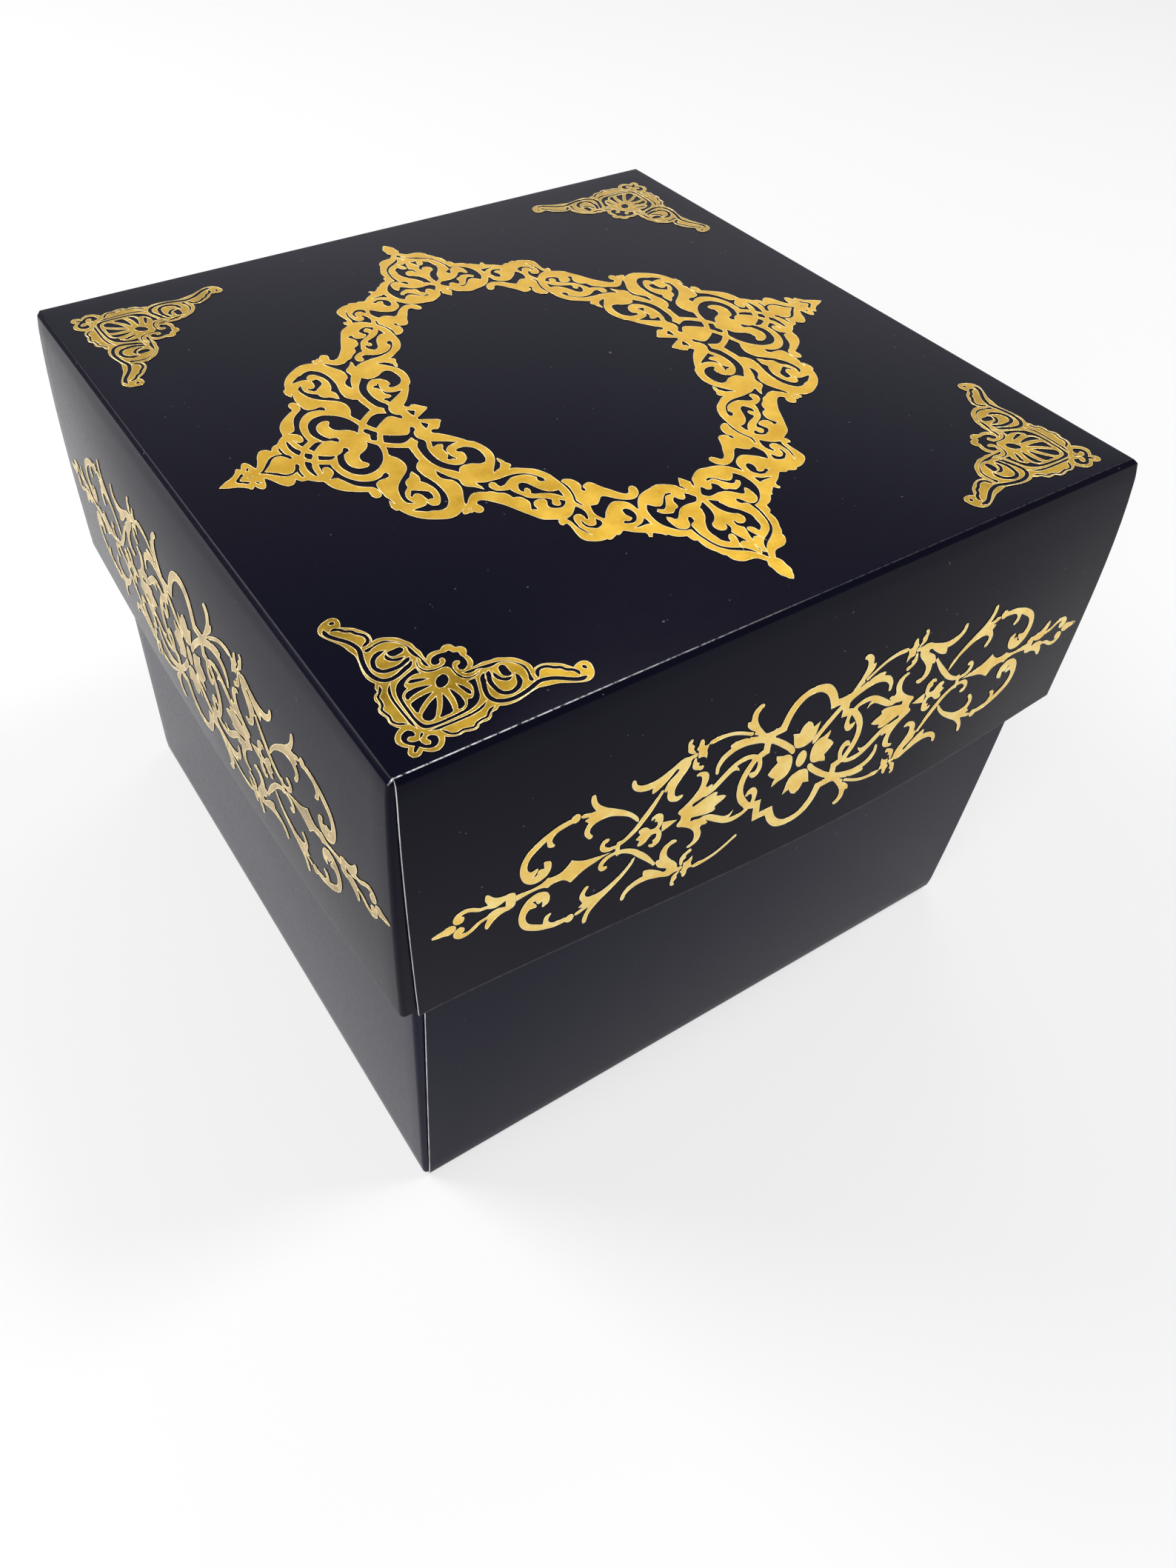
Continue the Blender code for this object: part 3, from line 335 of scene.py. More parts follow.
MEDALLION_GAPS = [
    # both sides of the fleuron inside the front tip
    [(-0.4, 37.2, SHARP), (-0.25, 37.0), (0, 36.8), (0.35, 36.85), (0.6, 37.02), (0.72, 37.3, SHARP),
     (0.62, 36.9), (0.45, 36.5), (0.3, 36.1), (0.18, 35.6), (0.22, 35.2), (0.45, 35.1), (0.75, 35.3),
     (1.0, 35.7), (1.12, 36.15), (1.3, 36.25, SHARP), (1.6, 36.0), (1.9, 35.6), (2.0, 35.1),
     (2.02, 34.6), (2.1, 34.1), (2.05, 33.5), (1.9, 33.0), (1.65, 32.5), (1.3, 31.9), (0.9, 31.4),
     (0.6, 30.9), (0.4, 30.3), (0.25, 29.85), (0.35, 29.65, SHARP), (0, 29.35), (-0.4, 29.0),
     (-0.72, 28.7, SHARP), (-0.74, 29.3), (-0.7, 30.0), (-0.6, 30.6), (-0.45, 31.1), (-0.22, 31.6),
     (0.05, 32.0), (0.4, 32.35), (0.85, 32.65), (1.05, 33.1), (1.05, 33.6), (0.85, 34.0), (0.5, 34.2),
     (0.1, 34.1), (-0.15, 33.8), (-0.25, 33.4), (-0.4, 33.35), (-0.5, 33.7), (-0.5, 34.1),
     (-0.3, 34.5), (0, 34.85, SHARP), (-0.05, 35.2), (-0.15, 35.7), (-0.3, 36.3), (-0.4, 36.8)],
    # beside the ring: the second stem's hook, its arch, the spiral's inside and the wedge over it
    [(11.85, 22.72, SHARP), (11.6, 23.3), (11.46, 24.0), (11.55, 24.6), (11.75, 25.1), (12.0, 25.45),
     (12.2, 25.35), (12.15, 24.9), (12.2, 24.5), (12.4, 24.22), (12.75, 24.15), (13.1, 24.35),
     (13.35, 24.8), (13.5, 25.6), (13.55, 26.3), (13.45, 26.8), (13.3, 27.5), (13.18, 28.05, SHARP),
     (13.45, 27.6), (13.7, 27.0), (13.85, 26.3), (13.88, 25.6), (13.9, 24.9), (14.0, 24.5),
     (14.1, 24.25, SHARP), (13.7, 24.15), (13.2, 23.95), (12.8, 23.65), (12.4, 23.25), (12.05, 22.88)],
    [(11.0, 26.7), (11.3, 27.05), (11.7, 27.25), (12.1, 27.32), (12.5, 27.05), (12.9, 26.7),
     (13.05, 26.2), (13.0, 25.6), (12.85, 25.25, SHARP), (12.72, 25.65), (12.7, 26.1), (12.5, 26.5),
     (12.1, 26.7), (11.75, 26.55), (11.5, 26.1), (11.25, 25.65, SHARP), (11.08, 26.0), (10.97, 26.4)],
    [(9.15, 28.0, SHARP), (8.6, 28.25), (8.1, 28.4), (7.6, 28.15), (7.2, 27.7), (6.95, 27.1),
     (6.95, 26.5), (7.1, 26.0), (7.45, 25.7), (7.8, 25.78), (8.0, 26.2), (8.05, 26.7), (7.9, 27.2),
     (7.8, 27.5), (8.0, 27.75), (8.4, 27.8), (8.7, 27.6), (8.88, 27.58, SHARP)],
    [(6.6, 29.55, SHARP), (6.75, 29.38), (7.3, 29.3), (8.0, 29.32), (8.6, 29.2, SHARP), (8.0, 29.0),
     (7.4, 28.8), (7.0, 28.5), (6.65, 28.1, SHARP), (6.55, 28.5), (6.56, 29.0)],
    # the long gap between the outer band, the scroll and the next stem
    [(22.15, 16.87, SHARP), (21.78, 16.65), (21.44, 16.22), (21.0, 15.78), (20.56, 15.44),
     (20.0, 15.39), (19.44, 15.56), (19.0, 15.83), (18.56, 15.94), (18.22, 16.22), (17.94, 16.56),
     (17.56, 16.8), (17.2, 17.17), (17.02, 17.78), (16.94, 18.2, SHARP), (16.44, 18.28),
     (16.06, 18.67), (15.89, 19.22), (15.85, 19.78), (16.0, 20.22), (16.24, 20.67),
     (16.42, 21.06, SHARP), (16.06, 21.2), (15.87, 21.35, SHARP), (15.67, 21.11), (15.69, 20.67),
     (15.58, 20.28), (15.33, 19.94), (14.89, 19.78), (14.44, 19.86), (14.14, 20.06), (14.09, 20.39),
     (14.24, 20.78), (14.44, 21.22), (14.42, 21.67), (14.11, 21.98), (13.67, 22.2), (13.22, 22.28),
     (12.89, 22.11), (12.5, 21.8), (12.26, 21.47), (12.44, 21.11), (12.72, 20.78, SHARP),
     (12.87, 21.11), (13.0, 21.56), (13.28, 21.8), (13.61, 21.61), (13.76, 21.22), (13.61, 20.87),
     (13.42, 20.56), (13.56, 20.2), (14.0, 19.85), (14.6, 19.5), (15.2, 19.12), (15.6, 18.67),
     (15.85, 18.11), (16.12, 17.56), (16.28, 17.11), (16.33, 16.61, SHARP), (16.89, 16.53),
     (17.44, 16.31), (17.89, 15.94), (18.08, 15.44), (18.06, 14.94), (17.78, 14.56), (17.44, 14.52),
     (17.22, 14.78), (17.2, 15.22), (17.09, 15.67, SHARP), (16.61, 15.67), (16.11, 15.39),
     (15.56, 15.0), (15.0, 14.76), (14.44, 14.76), (13.78, 14.87), (13.17, 15.2), (12.8, 15.67),
     (12.64, 16.0), (12.8, 16.42), (12.78, 16.76), (12.5, 17.02), (12.17, 17.08), (12.0, 16.83),
     (12.09, 16.33), (12.36, 15.78), (12.67, 15.31), (13.11, 14.85), (13.67, 14.52), (14.33, 14.28),
     (15.22, 14.18), (16.33, 14.26), (17.33, 14.2), (18.0, 14.12), (18.56, 13.9), (19.0, 13.61, SHARP),
     (19.02, 14.11), (18.89, 14.67), (18.91, 15.17, SHARP), (19.17, 14.83), (19.5, 14.39),
     (20.0, 14.02), (20.39, 13.64), (20.47, 13.11), (20.36, 12.5), (20.45, 12.1), (20.75, 11.65),
     (21.0, 11.2), (21.3, 10.5), (21.7, 9.4, SHARP), (22.0, 10.2), (22.0, 10.9), (21.75, 11.4),
     (21.4, 11.75), (21.1, 12.0), (20.95, 12.4), (20.87, 12.9), (20.88, 13.5), (21.05, 14.2),
     (21.4, 14.95), (21.77, 15.7), (22.05, 16.4)],
    [(12.0, 20.55), (12.28, 20.2), (12.56, 19.82), (13.0, 19.4), (13.56, 19.08), (14.11, 18.86),
     (14.67, 18.58), (14.78, 18.33), (14.6, 17.95), (14.56, 17.56), (14.78, 17.28), (15.05, 17.44),
     (15.24, 17.8), (15.5, 17.6), (15.58, 17.2), (15.45, 16.78), (15.22, 16.33), (14.89, 16.06),
     (14.44, 16.17), (14.11, 16.56), (13.94, 17.0), (13.78, 17.44), (13.56, 18.0), (13.22, 18.56),
     (12.78, 19.0), (12.33, 19.22), (11.72, 19.18, SHARP), (11.78, 19.67), (11.83, 20.2)],
    [(22.0, 17.75), (22.12, 17.94), (22.24, 17.75), (22.12, 17.56)],
    # inside the first curl, and the drop and wedge beside its foot
    [(16.0, 10.64), (16.5, 10.73), (16.86, 10.64), (17.23, 10.4), (17.59, 10.2), (17.95, 10.14),
     (18.4, 10.1), (18.9, 10.2), (19.27, 10.55), (19.6, 11.1, SHARP), (19.86, 10.7), (20.27, 10.18),
     (20.68, 9.68), (21.0, 9.14), (21.25, 8.5), (21.43, 7.77), (21.5, 6.95), (21.46, 5.86),
     (21.36, 4.95), (21.2, 4.23), (20.95, 3.77), (20.64, 3.27), (20.77, 2.86), (20.88, 2.23, SHARP),
     (21.4, 2.55), (21.95, 2.82), (22.5, 2.77), (23.14, 2.45), (23.77, 1.95), (24.1, 1.64, SHARP),
     (23.86, 0.95), (23.45, 0.1, SHARP), (22.95, 0.45), (22.23, 0.9), (21.5, 1.27), (21.0, 1.4),
     (20.6, 1.18), (20.27, 0.73), (20.05, 0.32), (19.82, 0.14), (19.57, 0.36), (19.52, 0.73),
     (19.68, 1.05), (20.0, 1.36), (20.18, 1.77), (20.25, 2.3), (20.12, 2.86), (19.86, 3.32),
     (19.77, 3.6), (19.86, 4.05), (20.18, 4.77), (20.36, 5.5), (20.45, 6.3), (20.43, 7.14),
     (20.32, 7.86), (20.1, 8.5), (19.77, 9.0), (19.4, 9.4), (19.05, 9.65), (18.68, 9.75),
     (18.27, 9.68), (17.86, 9.4), (17.5, 9.0), (17.3, 8.5), (17.23, 7.95), (17.3, 7.6, SHARP),
     (17.73, 7.3), (17.77, 7.05), (17.5, 6.82), (17.05, 6.7), (16.5, 6.8), (16.05, 7.05), (15.68, 7.5),
     (15.45, 8.05), (15.38, 8.77), (15.45, 9.5), (15.68, 10.23)],
    [(18.5, 8.57), (18.48, 8.32), (18.6, 8.05), (18.73, 7.6), (18.75, 7.05), (18.66, 6.55),
     (18.4, 6.18), (18.05, 5.9), (17.4, 5.68), (16.64, 5.6, SHARP), (17.14, 5.18), (17.86, 4.75),
     (18.6, 4.34), (19.32, 3.95, SHARP), (19.5, 4.55), (19.75, 5.1, SHARP), (19.32, 5.14),
     (18.95, 4.97), (18.48, 5.15, SHARP), (18.6, 5.6), (18.88, 6.0), (18.93, 6.5), (18.9, 7.05),
     (19.05, 7.5), (19.52, 8.1, SHARP), (19.18, 8.4), (18.86, 8.32), (18.68, 8.55)],
    [(18.45, 1.5, SHARP), (17.6, 0.64, SHARP), (18.32, -0.3, SHARP), (18.5, 0.6)],
    # round the inner curl, and inside it
    [(27.66, 15.0, SHARP), (27.4, 15.25), (26.86, 15.66), (26.2, 16.05), (25.8, 16.1), (25.3, 16.36),
     (24.8, 16.45), (24.2, 16.3), (23.8, 15.95), (23.4, 15.4), (23.14, 14.8), (22.95, 14.1),
     (22.86, 13.2), (22.86, 12.3), (22.95, 11.4), (23.15, 10.5), (23.34, 9.68), (23.4, 8.86),
     (23.35, 8.14), (23.1, 7.64), (22.73, 7.18), (22.4, 6.95), (22.32, 6.05), (22.2, 5.14),
     (22.1, 3.95, SHARP), (22.68, 3.64), (23.5, 3.14), (24.36, 2.55, SHARP), (24.55, 3.32),
     (24.8, 4.14), (24.73, 4.45), (24.4, 5.0), (24.18, 5.64), (24.1, 6.4), (24.18, 7.05), (24.4, 7.6),
     (24.77, 8.1), (25.3, 8.6), (25.95, 9.18), (26.6, 9.86), (27.14, 10.68), (27.45, 11.6),
     (27.6, 12.3), (27.64, 12.95), (27.5, 13.5), (27.14, 13.77), (26.73, 13.95, SHARP), (26.95, 13.4),
     (27.05, 12.77), (26.95, 12.14), (26.6, 11.5), (26.0, 10.9), (25.9, 10.4), (25.77, 9.95),
     (25.4, 9.6), (24.9, 9.3), (24.55, 8.77), (24.18, 8.4, SHARP), (24.03, 9.14), (24.0, 9.77),
     (24.14, 10.23), (24.3, 10.6, SHARP), (23.95, 11.05), (23.7, 11.77), (23.56, 12.5), (23.6, 13.3),
     (23.77, 14.05), (24.05, 14.64), (24.36, 15.14), (24.73, 15.4), (25.05, 15.36), (25.36, 15.1),
     (25.5, 14.7), (25.5, 14.2, SHARP), (25.8, 14.7), (26.2, 14.85), (26.6, 14.9), (27.14, 14.9)],
    [(24.64, 14.14), (24.36, 13.7), (24.3, 13.05), (24.45, 12.6), (24.8, 12.3), (25.2, 12.05),
     (25.7, 11.7), (26.0, 11.64), (26.3, 12.05), (26.6, 12.7), (26.4, 12.77), (26.14, 12.5),
     (25.77, 12.45), (25.5, 12.7), (25.36, 13.2), (25.3, 13.8), (25.2, 14.1), (24.9, 14.03)],
    # the arch round the comma, and the slips between it and the finial
    [(25.77, 0.45, SHARP), (25.3, 1.23), (24.9, 1.86), (24.94, 2.4), (25.06, 3.05), (25.3, 3.77),
     (25.68, 4.55), (26.14, 5.23), (26.68, 5.77), (27.3, 6.23), (27.95, 6.48), (28.5, 6.55),
     (29.0, 6.5), (29.7, 6.1), (30.2, 5.5), (30.5, 4.7), (30.68, 3.8), (30.58, 2.9), (30.3, 2.15),
     (30.02, 1.55), (29.4, 1.25), (29.05, 0.95), (28.85, 0.6), (28.55, 0.42), (28.28, 0.65),
     (28.25, 1.05), (28.45, 1.4), (28.85, 1.55), (29.1, 1.7), (29.4, 2.25), (29.62, 3.0),
     (29.67, 3.7), (29.5, 4.4), (29.1, 4.9), (28.5, 5.17), (27.9, 5.1), (27.65, 4.8), (27.72, 4.45),
     (28.05, 4.0), (28.05, 3.5), (27.9, 2.9), (27.5, 2.45), (26.86, 2.1), (26.3, 1.6), (25.95, 1.05)],
    [(30.12, 1.45, SHARP), (30.5, 1.85), (31.0, 1.95), (31.6, 1.7), (32.25, 1.35, SHARP),
     (31.9, 0.42, SHARP), (31.3, 0.85), (30.7, 1.22)],
    [(33.75, 4.2), (33.6, 3.8), (33.55, 3.0), (33.4, 2.2), (33.12, 1.5), (33.65, 0.8, SHARP),
     (33.92, 1.2), (34.12, 2.0), (34.18, 2.8), (34.08, 3.5), (33.92, 4.05)],
    [(39.8, 2.5), (40.05, 2.45), (40.3, 2.05), (40.2, 1.85), (39.95, 2.1)],
]

# The wall print's quarter, as read off the front wall: hundredths to the left of and above its
# centre. WALL_EVEN_OUT takes out how a bellied wall stretches and leans it there.
WALL_EVEN_OUT = (0.968, 0.042, 40)
# Frame round the flower, with its spray of leaves, stem and palmette, from the axis upwards to
# the axis to the side. In the photo the front wall's lower left lacks the spray and the spear.
FRAME_ARC = [
    (0, 11.72), (1.0, 11.75), (2.0, 11.5), (2.5, 11.25), (3.0, 10.85), (3.5, 10.2), (3.9, 9.5),
    (4.2, 8.8), (4.42, 8.05), (4.6, 7.65, SHARP),
]
FRAME_SPRAY = [
    (5.4, 7.58), (6.2, 7.58), (6.7, 7.75), (7.1, 8.2), (7.5, 8.8), (7.9, 9.4), (8.2, 10.0),
    (8.45, 10.6), (8.55, 11.3), (8.45, 11.9), (8.2, 12.3), (7.85, 12.6), (8.0, 12.95), (8.45, 13.0),
    (8.9, 12.65), (9.25, 12.1), (9.3, 11.4), (9.35, 10.9, SHARP), (9.78, 11.02, SHARP), (9.75, 10.5),
    (9.5, 10.05), (9.1, 9.6), (8.6, 9.15), (8.3, 8.9, SHARP), (8.45, 8.6), (8.2, 8.35), (7.85, 8.1),
    (7.7, 7.82, SHARP), (8.3, 8.05), (9.0, 8.35, SHARP), (9.05, 8.15, SHARP), (9.6, 8.5), (10.2, 8.65),
    (10.9, 8.72), (11.4, 8.7), (11.75, 8.5), (11.5, 8.05, SHARP), (12.1, 7.8), (12.7, 7.4),
    (13.1, 6.8), (13.35, 6.1), (13.35, 5.4), (13.2, 4.8), (13.05, 4.72), (12.95, 5.1), (12.9, 5.7),
    (12.6, 6.3), (12.1, 6.8), (11.4, 7.15), (10.6, 7.35), (9.8, 7.35), (9.0, 7.2), (8.2, 6.95),
    (7.5, 6.7), (6.9, 6.4), (6.6, 6.15),
]
FRAME_BARE_STEP = [(5.4, 7.58), (6.5, 7.58, SHARP)]
FRAME_STEM = [
    (6.55, 5.5), (6.5, 5.05, SHARP), (6.9, 4.9), (7.4, 4.65, SHARP), (7.8, 4.95), (8.4, 5.25),
    (9.1, 5.4), (9.8, 5.4), (10.4, 5.25), (11.0, 4.95), (11.6, 4.5), (12.2, 4.0), (12.8, 3.45),
    (13.4, 2.9), (13.9, 2.45, SHARP), (13.7, 2.9), (13.5, 3.2), (13.75, 3.38), (14.2, 3.25),
    (14.45, 3.4), (14.5, 3.75), (14.35, 4.3), (14.3, 5.0), (14.45, 5.6), (14.8, 6.05), (15.3, 6.32),
    (15.9, 6.4), (16.05, 6.15), (15.8, 6.0), (15.4, 5.75), (15.2, 5.3), (15.15, 4.7), (15.25, 4.0),
    (15.5, 3.4), (15.9, 2.85), (16.5, 2.25), (17.2, 1.72), (17.8, 1.3), (17.88, 1.0), (17.65, 0.7),
    (17.42, 0.35), (17.38, 0),
]
OPENING_ARC = [
    (0, 10.75), (1.0, 10.72), (1.6, 10.5), (2.2, 10.05), (2.7, 9.45), (3.1, 8.7), (3.35, 7.9),
    (3.55, 7.1), (3.62, 6.6, SHARP), (4.4, 6.6),
]
OPENING_SPEAR = [
    (5.12, 6.58, SHARP), (5.15, 6.35), (4.6, 5.85), (4.0, 5.3), (3.3, 4.65), (2.7, 4.0), (2.1, 3.35),
    (1.65, 2.7), (1.45, 2.1), (1.62, 1.78), (2.0, 2.05), (2.5, 2.7), (3.0, 3.25), (3.6, 3.85),
    (4.2, 4.45), (4.9, 5.1), (5.45, 5.52),
]
OPENING_BARE_STEP = [(5.62, 6.6, SHARP)]
OPENING_CURL = [
    (5.65, 5.55, SHARP), (5.65, 4.9), (5.6, 4.1, SHARP), (6.1, 4.0), (6.65, 3.85, SHARP), (6.55, 3.4),
    (6.42, 2.7), (6.4, 2.1), (6.6, 1.5), (6.9, 1.1), (7.25, 0.95), (7.7, 1.15), (7.95, 1.55),
    (8.02, 2.0), (7.7, 1.95), (7.35, 1.9), (7.1, 2.2), (7.0, 2.7), (7.05, 3.3), (7.22, 3.62),
    (7.5, 3.4), (7.8, 2.9), (8.1, 2.3), (8.4, 1.6), (8.6, 0.8), (8.65, 0),
]
FLOWER_EYE = [(0, 1.35), (0.4, 1.15), (0.65, 0.7), (0.75, 0)]
# Half shapes from axis to axis: the petals, then outwards along the axis to the side the gap
# beside the palmette, a bud, a double curl, the knot with its stems, the long lozenge, the clasp
# and the end leaf
UPPER_PETAL = [
    (0.3, 6.25, SHARP), (0.65, 6.0), (1.0, 5.5), (1.22, 4.8, SHARP), (1.6, 4.95), (2.2, 5.2, SHARP),
    (2.0, 4.5), (1.85, 3.8), (1.65, 3.1), (1.3, 2.55), (0.7, 2.25), (0, 2.15),
]
WALL_AXIS_SHAPES = [
    [(1.45, 0), (1.5, 0.5), (1.65, 1.1), (2.0, 1.65), (2.5, 2.0), (3.2, 2.15), (3.7, 2.4),
     (4.15, 2.6, SHARP), (4.05, 2.0), (3.75, 1.4, SHARP), (4.2, 1.0), (4.6, 0.55), (4.95, 0, SHARP)],
    [(9.45, 0), (9.45, 0.8), (9.3, 1.6), (9.05, 2.4), (8.7, 3.1), (8.3, 3.7), (8.05, 4.2),
     (8.05, 4.45, SHARP), (8.5, 4.65), (9.1, 4.7), (9.8, 4.65), (10.4, 4.45, SHARP), (10.0, 4.0),
     (9.8, 3.5, SHARP), (10.3, 3.85), (10.8, 3.85), (11.4, 3.5), (12.0, 3.0), (12.6, 2.5),
     (13.2, 2.05), (13.7, 1.85), (14.3, 1.78), (14.6, 1.88), (15.2, 1.72), (15.8, 1.6),
     (16.1, 1.45, SHARP), (16.0, 0.85, SHARP), (15.4, 1.0), (14.8, 1.22), (14.0, 1.48),
     (13.3, 1.6), (12.8, 1.6), (12.55, 1.35), (12.75, 1.0, SHARP), (12.3, 0.7), (11.6, 0.4),
     (11.12, 0, SHARP)],
    [(18.05, 0, SHARP), (18.6, 0.25), (19.3, 0.55), (19.95, 0.75, SHARP), (20.0, 0)],
    [(20.45, 0), (20.4, 0.2), (20.2, 0.5), (20.05, 1.1), (20.08, 1.7), (20.2, 2.2), (20.5, 2.55),
     (20.9, 2.75), (21.3, 2.7), (21.6, 2.4), (21.62, 2.1), (21.45, 2.15), (21.2, 2.25), (21.08, 2.0),
     (21.15, 1.6, SHARP), (20.8, 1.45), (20.68, 1.1), (20.7, 0.7), (21.0, 0.45), (21.45, 0.45),
     (21.8, 0.7), (22.1, 1.1), (22.5, 1.4), (23.0, 1.42), (23.22, 1.25), (23.15, 0.9),
     (22.9, 0.6, SHARP), (23.5, 0, SHARP)],
    [(25.75, 0), (25.72, 0.45, SHARP), (25.2, 0.6), (24.6, 0.9), (24.0, 1.3), (23.4, 1.8), (22.9, 2.4),
     (22.4, 3.0), (21.9, 3.7), (21.5, 4.35), (21.15, 5.0), (20.8, 5.7), (20.55, 6.25), (20.7, 6.45),
     (21.0, 6.05), (21.4, 5.5), (21.8, 4.95), (22.2, 4.45), (22.65, 3.85), (23.1, 3.3), (23.5, 2.75),
     (24.0, 2.15), (24.5, 1.7), (25.0, 1.35), (25.5, 1.1), (26.05, 1.15, SHARP), (26.22, 0.8),
     (26.7, 0.8), (27.2, 0.95), (27.6, 1.25), (27.85, 1.65), (27.8, 2.0), (27.5, 2.1), (27.28, 2.4),
     (27.5, 2.62), (27.9, 2.65), (28.2, 2.35), (28.38, 1.9), (28.35, 1.4), (28.1, 0.9), (27.6, 0.5),
     (27.0, 0.35), (26.5, 0.35), (26.22, 0.25, SHARP), (26.22, 0)],
    [(27.15, 0, SHARP), (28.0, 0.15), (29.0, 0.4), (30.0, 0.65), (30.8, 1.0), (31.5, 1.45),
     (32.05, 1.85, SHARP), (32.3, 1.5), (32.7, 1.05), (33.2, 0.7), (34.0, 0.55), (34.6, 0.6),
     (35.0, 0.82, SHARP), (35.3, 0.6), (35.8, 0.35), (36.5, 0.22), (37.5, 0.25), (38.5, 0.4),
     (38.9, 0.45, SHARP), (38.92, 0)],
    [(39.05, 0), (39.05, 0.8), (39.2, 1.1), (39.7, 1.35), (40.3, 1.35), (41.0, 1.55), (41.5, 1.85),
     (41.9, 2.3), (42.2, 2.7), (42.45, 2.9), (42.62, 2.5), (42.55, 1.9), (42.35, 1.4),
     (42.3, 1.1, SHARP), (42.7, 1.15), (43.3, 1.35), (43.9, 1.8), (44.5, 2.15), (45.1, 2.3),
     (45.7, 2.2), (46.15, 1.85), (46.4, 1.3), (46.25, 0.7), (45.9, 0.4), (45.5, 0.4), (45.2, 0.7),
     (45.2, 1.2), (45.5, 1.52), (45.25, 1.68), (44.8, 1.7), (44.3, 1.5), (43.8, 1.15), (43.3, 0.85),
     (42.7, 0.75), (42.35, 0.65), (42.0, 0.4), (41.5, 0.22), (41.0, 0.25), (40.5, 0.45),
     (40.15, 0.6, SHARP), (40.12, 0)],
    [(46.15, 0), (46.3, 0.4), (46.7, 0.65), (47.1, 0.65), (47.6, 0.45), (48.4, 0.3), (48.92, 0)],
]
